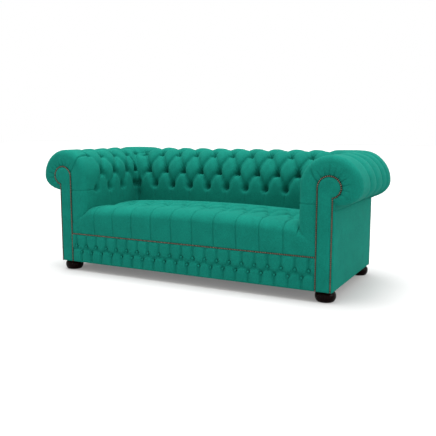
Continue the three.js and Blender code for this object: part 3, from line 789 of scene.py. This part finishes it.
def well_shapes(rakes, rows, to_mitre):
    """Wells by row and column, narrower where two pads run together in a corner."""
    shapes = []
    for row, wells in enumerate(zip(ARM_WELLS, BACK_WELLS)):
        shapes.append([])
        for column, rake in enumerate(rakes):
            depth, side, above, below = (lerp(arm, back, rake) for arm, back in zip(*wells))
            room = WELL_ROOM_SHARE * np.interp(row, rows[column], to_mitre[column])
            shapes[row].append((depth, min(side, max(room, MITRE_WELL)), above, below))
    return shapes


def pad_relief(grid, runs, rows, along, rakes, pitch, buttons, tufted=1.0):
    """How far the cover stands in from the pad's full outline."""
    folds = fold_points(pitch, ROW_SPACING, LAST_FOLD_ROW, arched(FOLD_BOW_SHARE), PLEATS_DOWN, PLEATS_UP)
    valleys, nearest, over = fold_field(runs, rows, pitch, ROW_SPACING, folds, FOLD_WIDTH, FOLD_LOWER_SHARE)
    to_mitre = across_columns(grid)[-1][None, :] - across_columns(grid)
    calm = 1 - CALM_SHARE * ridge(to_mitre, CALM_REACH) * eased((rows - CALM_ROWS[0]) / CALM_ROWS[1])
    round_pleats = 1 - np.sqrt(1 - (PUFF_ROUNDNESS * off_whole(runs[:, None])) ** 2)
    puffs = PUFF_DEPTH * round_pleats * np.interp(rows, *PUFF_SHARES)
    sink = (fold_depth(rows, rakes) * FOLD_LIMIT * np.tanh(valleys / FOLD_LIMIT) + puffs) * tufted * calm
    lines = np.interp(rows, *CREASE_DEPTHS) * ridge(nearest, CREASE_WIDTH)
    lips = crease(nearest - LIP_AWAY, LIP) * over * lerp(LIP_ARM_SHARE, 1.0, rakes)[:, None]
    sink += (lines + lips * ((rows > 0) & (rows < TOP_ROW))) * tufted
    shapes = well_shapes(rakes, rows, to_mitre)
    inner = [spot for spot in buttons if spot[0] < runs[-1]]
    ends = [spot for spot in buttons if spot[0] == runs[-1]]
    sink *= eased(to_mitre / FOLD_FADE)
    sink += button_dents(grid, runs, rows, along, inner, shapes, RAYED_ROWS) * eased(to_mitre / WELL_FADE)
    valley = np.interp(rows, *MITRE_DEPTHS) * np.exp(-(to_mitre / MITRE_WIDTH) ** MITRE_POWER)
    sink += valley + button_dents(grid, runs, rows, along, ends, shapes, ())
    corner = np.sin(pi * rakes)[:, None] ** CORNER_POWER
    return sink - CORNER_PUFF * corner * eased((rows - CORNER_ROWS[0]) / CORNER_ROWS[1])


# Pads of the arms and back
def arm_columns():
    """Stations along an arm behind its rounded front edge, and the run of each in button pitches."""
    first = NAIL_PLANE + ARM_FIRST
    pitch = (AXIS_Y - first) / (ARM_BUTTONS - 1)
    start = (NAIL_PLANE + BULLNOSE - first) / pitch
    behind = dense_runs(-0.5, ARM_BUTTONS - 1, round(pitch / 2 / MESH_STEP))
    straight = np.concatenate([spread(start, behind[0], EDGE_STEP_RUNS)[:-1], behind])
    turned = onward(0, 1, ARM_CORNER_SAMPLES)
    stations = [arm_station(first + run * pitch) for run in straight]
    stations += [corner_station(t * pi / 4) for t in turned]
    return stations, np.concatenate([straight, ARM_BUTTONS - 1 + turned]), pitch


def back_columns():
    """Stations from the middle of the back to the right mitre, and the run of each."""
    straight = dense_runs(0, BACK_BUTTONS + 1, round(BACK_PITCH / 2 / MESH_STEP))
    straight = straight[straight * BACK_PITCH < AXIS_X - MESH_STEP / 2]
    turned = np.linspace(0, 1, BACK_CORNER_SAMPLES)
    stations = [back_station(run * BACK_PITCH) for run in straight]
    stations += [corner_station(lerp(pi / 2, pi / 4, t)) for t in turned]
    corner_runs = lerp(AXIS_X / BACK_PITCH, BACK_BUTTONS + 1, turned)
    return stations, np.concatenate([straight, corner_runs])


def outlines_of(stations):
    sections = [outline(s["rake"], s["wall"]) for s in stations]
    grid = np.stack([place_outline(s, u, z) for s, (u, z, _, _) in zip(stations, sections)])
    rows = np.stack([row for _, _, row, _ in sections])
    along = np.stack([a for _, _, _, a in sections])
    rakes = np.array([s["rake"] for s in stations])
    return grid, rows, along, rakes


def hold_to_side(outer, grid, side):
    """Keeps a cover on its side of the plane where arm and back meet, 1 for the arm and -1 for the back."""
    across = side * np.array([1.0, -1.0, 0.0]) / sqrt(2)
    axis = np.array([AXIS_X, AXIS_Y, 0.0])
    before = (grid - axis) @ across
    after = (outer - axis) @ across
    wanted = np.maximum(after, before / 2)
    wanted[-1] = 0
    return outer + (wanted - after)[..., None] * across


def head_radius(turn):
    """Radius of the facing's nail line, which draws in on its way under the head to the stem."""
    return lerp(SCROLL_RADIUS, HEAD_END_RADIUS, clamp01(turn / HEAD_END))


def seat_end(x, z):
    """Front of the seat's fall where it runs on over an arm, as far as the facing."""
    over = clamp01((x - SEAT_HIGH.x) / (STEM_IN - SEAT_HIGH.x))
    top = np.interp(over, *WING_TOPS)
    shoulder = lerp(PAD_BOTTOM, top, 1 - SEAT_CURVE_SHARE)
    turn = np.arcsin(clamp01((z - shoulder) / (top - shoulder)))
    depth = lerp(SEAT_CURVE_DEPTH, WING_DEPTH, np.sqrt(over))
    up = clamp01((z - SHADE_STRIP_TOP) / (shoulder - SHADE_STRIP_TOP))
    fall = SEAT_LEAD * np.sin(up * pi / 2) * (1 - over) ** WING_POWER
    return np.where(z > top, FAR_BACK, NAIL_PLANE - fall + depth * (1 - np.cos(turn)))


def front_surface(section_u, section_z):
    """Rounded front edge of an arm, from its full outline in to the nail line of the facing."""
    turn = np.arctan2(section_z - SCROLL_Z, section_u - SCROLL_REACH)
    on_face = (section_z < SCROLL_Z) & (section_u < SCROLL_REACH)
    target_u = np.where(on_face, STEM_IN - INSIDE_X, SCROLL_REACH + head_radius(turn) * np.cos(turn))
    target_z = np.where(on_face, section_z, SCROLL_Z + head_radius(turn) * np.sin(turn))
    reach = np.hypot(target_u - section_u, target_z - section_z)
    columns, distances = [], []
    for share in np.sin(np.linspace(0, pi / 2, FRONT_SAMPLES)[:-1]):
        s = (1 - share) * reach
        depth = BULLNOSE * (1 - quarter_round(s / BULLNOSE))
        flat = clamp01((s - BULLNOSE) / np.maximum(reach - BULLNOSE, SHORTEST))
        belly = BELLY * np.sin(pi * flat) ** BELLY_POWERS[0] - BELLY * flat ** BELLY_POWERS[1]
        u = lerp(section_u, target_u, 1 - share)
        z = lerp(section_z, target_z, 1 - share)
        y = FRONT_EDGE + depth - belly
        over = seat_end(INSIDE_X + u, z)
        y = np.where(on_face, np.minimum(y, over) + crease(y - over, WING_CREASE), y)
        columns.append(xyz(INSIDE_X + u, y, z))
        distances.append(s)
    return np.stack(columns), np.stack(distances), np.where(on_face, pi, turn), reach


def front_relief(distances, turn, reach):
    """Gathers round the scroll, and the long one that comes over from the first button of the top row."""
    from_nails = reach - distances
    radius = head_radius(turn) + from_nails
    sink = np.zeros(distances.shape)
    for angle, length in zip(GATHER_ANGLES, GATHER_LENGTHS):
        off = (turn - radians(angle)) * radius
        width = lerp(*GATHER_WIDTHS, clamp01(from_nails / length))
        sink += GATHER_DEPTH * ridge(off, width) * eased((length - from_nails) / (GATHER_FADE_SHARE * length))
    lean = np.radians(lerp(*LONG_GATHER_ANGLES, from_nails / reach))
    sink += crease((turn - lean) * radius, TOP_CREASE)
    return sink * eased(from_nails / NAIL_FADE + NAIL_FADE_SHARE)


def forward_folds(run, row):
    """Creases ahead of an arm's first buttons, level with the lowest row and with the top row."""
    line = TOP_ROW - FORWARD_DROP_ROWS * clamp01(-run / FORWARD_RUNS) ** 2
    low = crease(row * ROW_SPACING, LOW_CREASE)
    top = crease((row - line) * ROW_SPACING, TOP_CREASE)
    return eased(-run / FORWARD_FADE_RUNS) * (low + top)


def plain_ends(grid, rows):
    """No tufts where the seat covers a pad, nor where the pad meets the outside panel."""
    above_seat = eased((grid[..., 2] - PLAIN_TOP + PLAIN_FADE[0]) / PLAIN_FADE[1])
    return above_seat * eased((rows.max() - rows - JUNCTION_FADE_ROWS[0]) / JUNCTION_FADE_ROWS[1])


def row_buttons(first, last):
    """Buttons of the three rows, as run and row: whole runs in the outer rows and halves in the middle."""
    return [(k + (0.5 if row == 1 else 0.0), row) for row in range(3)
            for k in range(first, last + (0 if row == 1 else 1))]


def arm_pad():
    """Outer grid, lining, normals, runs and rows of the right arm."""
    stations, runs, pitch = arm_columns()
    body, rows, along, rakes = outlines_of(stations)
    tufted = eased((runs[:, None] + TUFTS_FADE_RUNS[0]) / TUFTS_FADE_RUNS[1])
    sink = pad_relief(body, runs, rows, along, rakes, pitch, row_buttons(0, ARM_BUTTONS), tufted)
    sink += forward_folds(runs[:, None], rows)
    sink *= plain_ends(body, rows)
    section_u, section_z, row, _ = outline(0.0, WALL_REACH)
    front, distances, turn, reach = front_surface(section_u, section_z)
    front_rows = np.repeat(row[None], len(front), 0)
    front_sink = front_relief(distances, turn[None], reach[None])
    front_sink += crease(front_rows * ROW_SPACING, LOW_CREASE) * (turn[None] > FACE_TURN)
    front_sink *= eased((front[..., 2] - WING_TOP) / WING_FADE)
    grid = np.concatenate([front, body])
    normals = -surface_normals(grid)
    outer = hold_to_side(grid - normals * np.concatenate([front_sink, sink])[..., None], grid, 1)
    linings = [lining(arm_station(NAIL_PLANE + CLEARANCE))] * len(front) + [lining(s) for s in stations]
    shown_runs = np.concatenate([np.full(len(front), NO_RUN), runs])
    return outer, np.stack(linings), normals, shown_runs, np.concatenate([front_rows, rows])


def back_pad():
    """Outer grid, lining, normals, runs and rows of the right half of the back."""
    stations, runs = back_columns()
    grid, rows, along, rakes = outlines_of(stations)
    buttons = row_buttons(0, BACK_BUTTONS + 1) + [END_BUTTON]
    sink = pad_relief(grid, runs, rows, along, rakes, BACK_PITCH, buttons)
    sink *= plain_ends(grid, rows)
    normals = surface_normals(grid)
    outer = hold_to_side(grid - normals * sink[..., None], grid, -1)
    return outer, np.stack([lining(s) for s in stations]), normals, runs, rows


def at_buttons(outer, normals, runs, rows, buttons):
    """Place and normal on the finished surface at each run and row."""
    spots = []
    for button_run, button_row in buttons:
        miss = np.abs(runs[:, None] - button_run) + np.abs(rows - button_row)
        spot = np.unravel_index(np.argmin(miss), miss.shape)
        spots.append((outer[spot], normals[spot]))
    return spots


def flipped(spots):
    return [(place * FLIP, up * FLIP) for place, up in spots]


def covered_buttons(name, spots, radius=BUTTON_RADIUS, height=BUTTON_HEIGHT, lift=0.0):
    raised = [place + up * lift for place, up in spots]
    ups = [up for _, up in spots]
    foot = BUTTON_FOOT + lift
    knobs = domes(name, raised, ups, radius, height, "cover", BUTTON_SIDES, BUTTON_RINGS, foot)


def make_arms():
    outer, linings, normals, runs, rows = arm_pad()
    buttons = [spot for spot in row_buttons(0, ARM_BUTTONS) if spot[0] < ARM_BUTTONS]
    spots = at_buttons(outer, normals, runs, rows, buttons)
    closed_pad("right_arm_cover", outer[::-1], linings[::-1], "right_arm_pad")
    closed_pad("left_arm_cover", outer * FLIP, linings * FLIP, "left_arm_pad")
    covered_buttons("right_arm_buttons", spots)
    covered_buttons("left_arm_buttons", flipped(spots))


def make_back():
    outer, linings, normals, runs, rows = back_pad()
    spots = at_buttons(outer, normals, runs, rows, row_buttons(0, BACK_BUTTONS + 1) + [END_BUTTON])
    full, full_lining = (np.concatenate([half[:0:-1] * FLIP, half]) for half in (outer, linings))
    closed_pad("back_cover", full, full_lining, "back_pad")
    covered_buttons("back_buttons", spots + flipped([spot for spot in spots if spot[0][0] > MIDLINE]))


# Seat
def seat_level(x):
    edge = SEAT_HIGH.x
    near = clamp01((np.abs(x) - (edge - SEAT_SIDE_ROUND)) / SEAT_SIDE_ROUND)
    side = SEAT_SIDE_DROP * (1 - np.sqrt(1 - near ** 2))
    return SEAT_LEVEL - SEAT_CROWN * (x / edge) ** 2 - side


def seat_back(x):
    over = max(0.0, abs(x) - AXIS_X)
    return SEAT_HIGH.y - over * (SEAT_HIGH.y - AXIS_Y) / (SEAT_HIGH.x - AXIS_X)


def seat_column(x):
    """Points and rows of a section through the seat, from its foot up the fall and back."""
    level = seat_level(x)
    curve = (level - PAD_BOTTOM) * SEAT_CURVE_SHARE
    shoulder = level - curve
    fall_z = lerp(PAD_BOTTOM, shoulder, np.linspace(0, 1, SEAT_FALL_SAMPLES))
    up = clamp01((fall_z - SHADE_STRIP_TOP) / (shoulder - SHADE_STRIP_TOP))
    fall_y = NAIL_PLANE - SEAT_LEAD * np.sin(up * pi / 2)
    turn = onward(0, pi / 2, SEAT_BEND_SAMPLES)
    end = NAIL_PLANE - SEAT_LEAD + SEAT_CURVE_DEPTH
    back = seat_back(x)
    top_y = onward(end, back, SEAT_TOP_SAMPLES)
    first, middle, last = (NAIL_PLANE + reach for reach in SEAT_ROWS)
    top_z = level - SEAT_BACK_DROP * clamp01((top_y - last) / (back - last)) ** 2
    y = np.concatenate([fall_y, end - SEAT_CURVE_DEPTH * np.cos(turn), top_y])
    z = np.concatenate([fall_z, shoulder + curve * np.sin(turn), top_z])
    rows = np.interp(y, [first, middle, last], [0, 1, 2])
    rows = np.where(y < first, (y - first) / SEAT_ROW_STEP, rows)
    rows = np.where(y > last, 2 + (y - last) / SEAT_ROW_STEP, rows)
    rows[:len(fall_y)] = FALL_ROW
    return xyz(x, y, z), rows


def seat_runs():
    """Columns across the seat, closer together at its seams and its rounded sides."""
    reach = SEAT_PANELS / 2
    middle = dense_runs(0.5 - reach, 0.5 + reach, round(SEAT_PITCH / 2 / MESH_STEP))
    edge = SEAT_HIGH.x / SEAT_PITCH + 0.5
    side = lerp(middle[-1], edge, np.sin(onward(0, pi / 2, SEAT_SIDE_SAMPLES)))
    return np.concatenate([1 - side[::-1], middle, side])


def seat_buttons():
    """Buttons of the seat's three rows, as run and row."""
    reach = SEAT_PANELS // 2
    spots = row_buttons(1 - reach, 1 + reach)
    return [spot for spot in spots if abs(spot[0] - 0.5) * SEAT_PITCH < SEAT_HIGH.x - SEAT_BUTTON_MARGIN]


def seat_relief(grid, runs, rows, buttons):
    """Seams down the front fall, and a diamond lattice over the top."""
    shape = (SEAT_PITCH, SEAT_ROW_STEP)
    folds = fold_points(*shape, TOP_ROW, arched(SEAT_BOW_SHARE), SEAT_PLEATS_DOWN, SEAT_PLEATS_UP)
    valleys, nearest, _ = fold_field(runs, rows, *shape, folds, SEAT_FOLD_WIDTH, SEAT_LOWER_SHARE)
    to_last = TOP_ROW - rows
    rear = lerp(REAR_FOLD_SHARE, 1.0, eased(to_last / REAR_FOLD_ROWS))
    rear = rear * eased((TOP_ROW + REAR_FOLD_ROWS - rows) / REAR_FOLD_ROWS)
    lattice = (SEAT_FOLD * np.tanh(valleys) + crease(nearest, SEAT_CREASE)) * rear
    off = off_whole(runs[:, None])
    seams = SEAM_PUFF * (1 - np.sin(pi * off) ** SEAM_POWER) + crease(off * SEAT_PITCH, SEAM_CREASE)
    along = across_columns(grid.swapaxes(0, 1)).T
    wells = button_dents(grid, runs, rows, along, buttons, [[SEAT_WELL] * len(runs)] * 3, ())
    wells *= lerp(REAR_WELL_SHARE, 1.0, eased(to_last / REAR_WELL_ROWS))
    sink = lerp(seams, lattice, eased(1 + rows / SEAM_END_ROWS)) + wells
    sides = SEAT_HIGH.x - np.abs(grid[..., 0])
    return sink * eased((grid[..., 2] - PAD_BOTTOM) / SEAT_FOOT_FADE) * eased(sides / SEAT_SIDE_FADE)


def make_seat():
    runs = seat_runs()
    xs = (runs - 0.5) * SEAT_PITCH
    columns = [seat_column(x) for x in xs]
    grid = np.stack([points for points, _ in columns])
    rows = np.stack([row for _, row in columns])
    buttons = seat_buttons()
    normals = surface_normals(grid)
    outer = grid - normals * seat_relief(grid, runs, rows, buttons)[..., None]
    back = np.array([seat_back(x) for x in xs])
    fall_y = NAIL_PLANE + SEAT_FALL_THICKNESS
    inner_z = FOAM_TOP + CLEARANCE
    hollow = [xyz(xs, back, inner_z), xyz(xs, fall_y, inner_z), xyz(xs, fall_y, PAD_BOTTOM)]
    closed_pad("seat_cover", outer, np.stack(hollow, 1), "seat_pad")
    spots = at_buttons(outer, normals, runs, rows, buttons)
    covered_buttons("seat_buttons", spots, BUTTON_RADIUS, SEAT_BUTTON_HEIGHT)


# Border
def border_relief(grid, runs, rows, buttons, edge):
    """Two rows of small tufts, with upright pleats above the upper row and below the lower one."""
    spacing = (BORDER_TOP - FLOOR_GAP) * (BORDER_ROW_SHARES[1] - BORDER_ROW_SHARES[0])
    shape = (BORDER_PITCH, spacing)
    folds = fold_points(*shape, 1, scalloped(BORDER_BEND_SHARE), BORDER_PLEATS, BORDER_PLEATS)
    valleys, nearest, _ = fold_field(runs + 0.5, rows, *shape, folds, BORDER_FOLD_WIDTH, BORDER_LOWER_SHARE)
    sink = BORDER_FOLD * valleys + crease(nearest, BORDER_CREASE)
    sink += button_dents(grid, runs, rows, grid[..., 2], buttons, [[BORDER_WELL] * len(runs)] * 2, ())
    return BORDER_DEEPEST * np.tanh(sink / BORDER_DEEPEST) * eased(edge / BORDER_FADE)


def make_border():
    low, high = (lerp(FLOOR_GAP, BORDER_TOP, share) for share in BORDER_ROW_SHARES)
    middle = dense_runs(-BORDER_HALF, BORDER_HALF, round(BORDER_PITCH / 2 / BORDER_TUFT_STEP))
    side = spread(middle[-1], BORDER_HIGH.x / BORDER_PITCH, BORDER_END_RUNS)[1:]
    runs = np.concatenate([-side[::-1], middle, side])
    x, z = np.meshgrid(runs * BORDER_PITCH, spread(FLOOR_GAP, BORDER_TOP, BORDER_STEP), indexing="ij")
    edge = np.minimum(np.minimum(z - FLOOR_GAP, SHADE_STRIP_FOOT - z), BORDER_HIGH.x - np.abs(x))
    bulge = quarter_round(edge / np.where(z - FLOOR_GAP < SHADE_STRIP_FOOT - z, *BORDER_ROUNDS))
    grid = xyz(x, FRONT_EDGE - BORDER_LEAD * bulge, z)
    rows = (z - low) / (high - low)
    buttons = [(k + 0.5, 0) for k in range(-BORDER_HALF, BORDER_HALF)]
    buttons += [(k, 1) for k in range(-BORDER_HALF, BORDER_HALF + 1)]
    normals = surface_normals(grid)
    outer = grid - normals * border_relief(grid, runs, rows, buttons, edge)[..., None]
    back = [xyz(x[:, 0], BORDER_HIGH.y, BORDER_TOP), xyz(x[:, 0], BORDER_HIGH.y, FLOOR_GAP)]
    closed_pad("border_cover", outer, np.stack(back, 1), "front_border")
    covered_buttons("border_buttons", at_buttons(outer, normals, runs, rows, buttons), *BORDER_BUTTON)


# Facings
def scroll_line():
    """Outline of a facing from its inner foot, round the head to its outer foot, as (x, z)."""
    turns = spread(pi, HEAD_END, FACING_STEP / SCROLL_RADIUS)
    radius = head_radius(turns)
    head = np.stack([SCROLL_X + radius * np.cos(turns), SCROLL_Z + radius * np.sin(turns)], -1)
    inner_z = spread(FLOOR_GAP, SCROLL_Z, FACING_STEP)[:-1]
    outer_z = inner_z[inner_z < head[-1][1] - FACING_STEP / 2][::-1]
    inner = np.stack([np.full(inner_z.shape, STEM_IN), inner_z], -1)
    outer = np.stack([np.full(outer_z.shape, STEM_OUT), outer_z], -1)
    return np.concatenate([inner, head, outer])


def facing_spine(line):
    """Middle line that the rings of a facing close on, from the foot up into the head."""
    neck = SCROLL_Z - SCROLL_RADIUS * NECK_SHARE
    reach = clamp01((line[:, 1] - neck) / (SCROLL_Z - neck))
    centre_x = lerp((STEM_IN + STEM_OUT) / 2, SCROLL_X, eased(reach))
    return np.stack([centre_x, np.minimum(line[:, 1], SCROLL_Z)], -1)


def crown_over(flat, line):
    """Rise of a padded facing, by the distance from its outline."""
    apart = np.linalg.norm(flat[:, None, :] - line[None, :, :], axis=-1).min(1)
    edge = 1 - clamp01((apart - NAIL_BAND) / CROWN_REACH)
    full = (1 - edge ** CROWN_POWERS[0]) ** CROWN_POWERS[1]
    return FACING_CROWN * full * quarter_round((flat[:, 1] - FLOOR_GAP) / CROWN_FOOT)


def join_spine(cover, first):
    """Joins the halves of a facing along its middle line, whose points begin with the first one given."""
    shape = bmesh.new()
    shape.from_mesh(cover.data)
    shape.verts.ensure_lookup_table()
    bmesh.ops.remove_doubles(shape, verts=shape.verts[first:], dist=SPINE_JOIN)
    bmesh.ops.dissolve_degenerate(shape, edges=shape.edges, dist=SLIVER)
    shape.to_mesh(cover.data)
    shape.free()


def make_facing(side, sign):
    """Padded cover of the scroll board, highest along its middle."""
    line = scroll_line()
    spine = facing_spine(line)
    columns = [xyz(line[:, 0] * sign, FACING_HIGH.y, line[:, 1])]
    for share in np.linspace(0, 1, FACING_RINGS):
        flat = lerp(line, spine, share)
        columns.append(xyz(flat[:, 0] * sign, NAIL_PLANE + CLEARANCE - crown_over(flat, line), flat[:, 1]))
    count = len(line)
    starts = [c * count for c in range(len(columns))]
    faces = []
    for start in starts[:-1]:
        for a in range(start, start + count - 1):
            faces.append((a, a + 1, a + 1 + count, a + count))
    faces.append(tuple(reversed(range(count))))
    faces.append((*starts, *(start + count - 1 for start in reversed(starts))))
    if sign > 0:
        faces = [face[::-1] for face in faces]
    cover = add_mesh(f"{side}_facing_cover", np.concatenate(columns), faces, "cover")
    join_spine(cover, starts[-1])
    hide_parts(f"{side}_facing")


# Nails
def along_line(line, pitch):
    """Points a pitch apart along a line, from one end to the other."""
    steps = np.linalg.norm(np.diff(line, axis=0), axis=1)
    length = np.concatenate([[0], np.cumsum(steps)])
    count = int(round((length[-1] - pitch) / pitch)) + 1
    at = np.linspace(pitch / 2, length[-1] - pitch / 2, count)
    return np.stack([np.interp(at, length, line[:, 0]), np.interp(at, length, line[:, 1])], -1)


def nail_shade_band(line, sign):
    """Narrow near-black strip under a row of nails, painted shade between the heads, as points and faces."""
    steps = np.gradient(line, axis=0)
    sides = np.stack([-steps[:, 1], steps[:, 0]], -1) / np.linalg.norm(steps, axis=1)[:, None]
    places = []
    for reach, rise in ((-NAIL_BAND, 0.0), (-NAIL_BAND, SHADE_STRIP_RISE), (NAIL_BAND, SHADE_STRIP_RISE), (NAIL_BAND, 0.0)):
        flat = line + sides * reach
        places.append(xyz(flat[:, 0] * sign, NAIL_PLANE - rise, flat[:, 1]))
    rings = np.stack(places, 1)
    faces = ring_faces(*rings.shape[:2])
    return rings.reshape(-1, 3), faces if sign < 0 else [face[::-1] for face in faces]


def nail_row(name, line, node, sign=1):
    places = [(x * sign, NAIL_PLANE - SHADE_STRIP_RISE, z) for x, z in along_line(line, NAIL_PITCH)]
    ups = [(0.0, -1.0, 0.0)] * len(places)
    heads = domes(name, places, ups, NAIL_RADIUS, NAIL_HEIGHT, "nail_metal", NAIL_SIDES, NAIL_RINGS)
    # Near-black strip under the heads: painted shade in the gaps between them
    band = add_mesh(f"{name}_shade_strip", *nail_shade_band(line, sign), "nail_metal", NAIL_GAP_SHADE)
    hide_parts(node)
    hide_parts(node)


def make_nails():
    for side, sign in SIDES:
        nail_row(f"{side}_facing_nails", scroll_line(), f"{side}_facing_nail_trim", sign)
    edge = STEM_IN - NAIL_PITCH * NAIL_END_SHARE
    nail_row("border_nails", np.array([[x, NAIL_LINE_MIDDLE] for x in (-edge, 0.0, edge)]), "border_nail_trim")


# Outside panels
def puffed_panel(name, node, outward):
    """Flat panel with rounded edges and a slight crown, rounded most at the front of the sofa."""
    low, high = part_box(node)
    depth = float(np.dot(high - low, np.abs(outward)))
    across = np.cross((0, 0, 1), outward)
    corner = np.where(np.array(outward) > across, high, low)
    size = np.array(high) - np.array(low)
    shares = [drawn_in(np.linspace(0, 1, count), END_PULL_SHARE) for count in PANEL_SAMPLES]
    u, v = np.meshgrid(*shares, indexing="ij")
    width, height = np.abs(across) @ size, size[2]
    edge = np.minimum(np.minimum(u, 1 - u) * width, np.minimum(v, 1 - v) * height)
    rise = PANEL_CROWN * (np.sin(pi * u) * np.sin(pi * v)) ** PANEL_CROWN_POWER
    rise -= PANEL_SETBACK * (1 - quarter_round(edge / PANEL_ROUND))
    nose = {1: u, -1: 1 - u, 0: np.ones(u.shape)}[outward[0]] * width
    rise -= (depth - PANEL_NOSE) * (1 - quarter_round(nose / depth))
    base = corner + u[..., None] * across * size + v[..., None] * np.array([0, 0, height])
    face = base + rise[..., None] * np.array(outward)
    back = np.stack([base[:, -1], base[:, 0]], 1) - depth * np.array(outward)
    closed_pad(name, face, back, node)


def make_panels():
    for side, sign in SIDES:
        puffed_panel(f"{side}_outside_cover", f"{side}_outside_arm_panel", (sign, 0, 0))
    puffed_panel("back_outside_cover", "outside_back_panel", (0, 1, 0))


# Feet
def foot_profile():
    """Radius and height of a turned bun foot, from the floor up."""
    belly = (FOOT_HIGH.x - FOOT_LOW.x) / 2
    turns = np.linspace(-1, 1, FOOT_SAMPLES)
    ends = np.where(turns < 0, FOOT_BASE_RADIUS, FOOT_NECK_RADIUS)
    radius = belly - (belly - ends) * np.abs(turns) ** FOOT_POWER
    rising = lerp(FOOT_BELLY_HEIGHT, FOOT_HIGH.z, turns)
    return list(zip(radius, np.where(turns < 0, FOOT_BELLY_HEIGHT * (1 + turns), rising)))


def make_foot(side, end):
    node = f"{side}_{end}_foot"
    low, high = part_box(node)
    centre_x, centre_y = (low.x + high.x) / 2, (low.y + high.y) / 2
    profile = foot_profile()
    points = []
    for radius, z in profile:
        for k in range(FOOT_SIDES):
            turn = 2 * pi * k / FOOT_SIDES
            points.append((centre_x + radius * cos(turn), centre_y + radius * sin(turn), z))
    faces = level_faces(0, len(profile), FOOT_SIDES)
    faces.append(tuple(reversed(range(FOOT_SIDES))))
    faces.append(tuple(range(len(points) - FOOT_SIDES, len(points))))
    foot = add_mesh(f"{side}_{end}_turned_foot", points, faces, "foot_wood")
    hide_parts(node)


# Studio
def make_camera():
    data = bpy.data.cameras.new("camera")
    data.sensor_width = SENSOR
    data.lens = CAMERA_LENS
    camera = linked("camera", data)
    camera.location = CAMERA_PLACE
    camera.rotation_euler = (radians(90 - CAMERA_PITCH), 0, radians(CAMERA_YAW))
    bpy.context.scene.camera = camera


def add_light(name, kind, way, settings):
    """Lamp that shines along a way, with its settings by name."""
    data = bpy.data.lights.new(name, kind)
    for setting, value in settings.items():
        setattr(data, setting, value)
    light = linked(name, data)
    light.rotation_euler = Vector(way).to_track_quat("-Z", "Y").to_euler()
    return light


def make_lights():
    add_light("overhead", "SUN", (0.14, -0.10, -1.0), {"energy": 4.35, "angle": radians(50)})
    add_light("right_fill", "SUN", (-1.0, 0.0, -0.50), {"energy": 1.2, "angle": radians(40)})
    strip = {"shape": "RECTANGLE", "size": 1.2, "size_y": 0.015, "energy": 6}
    add_light("strip", "AREA", STRIP_TARGET - STRIP_PLACE, strip).location = STRIP_PLACE


def make_studio():
    scene = bpy.context.scene
    scene.view_settings.view_transform = "Standard"
    world = bpy.data.worlds.new("studio")
    world.use_nodes = True
    set_sockets(world.node_tree.nodes["Background"], {"Color": (1, 1, 1, 1), "Strength": 1.0})
    scene.world = world
    make_lights()
    corners = ((-1, -1), (1, -1), (1, 1), (-1, 1))
    mesh = bpy.data.meshes.new("floor")
    mesh.from_pydata([(x * FLOOR_REACH, y * FLOOR_REACH, 0) for x, y in corners], [], [(0, 1, 2, 3)])
    mesh.materials.append(pale_floor())
    floor = linked("floor", mesh)


make_camera()
dress_nodes()
make_arms()
make_back()
make_seat()
make_border()
for side_name, side_sign in SIDES:
    make_facing(side_name, side_sign)
make_nails()
make_panels()
for foot_end in ("front", "back"):
    for foot_side in ("left", "right"):
        make_foot(foot_side, foot_end)
make_studio()
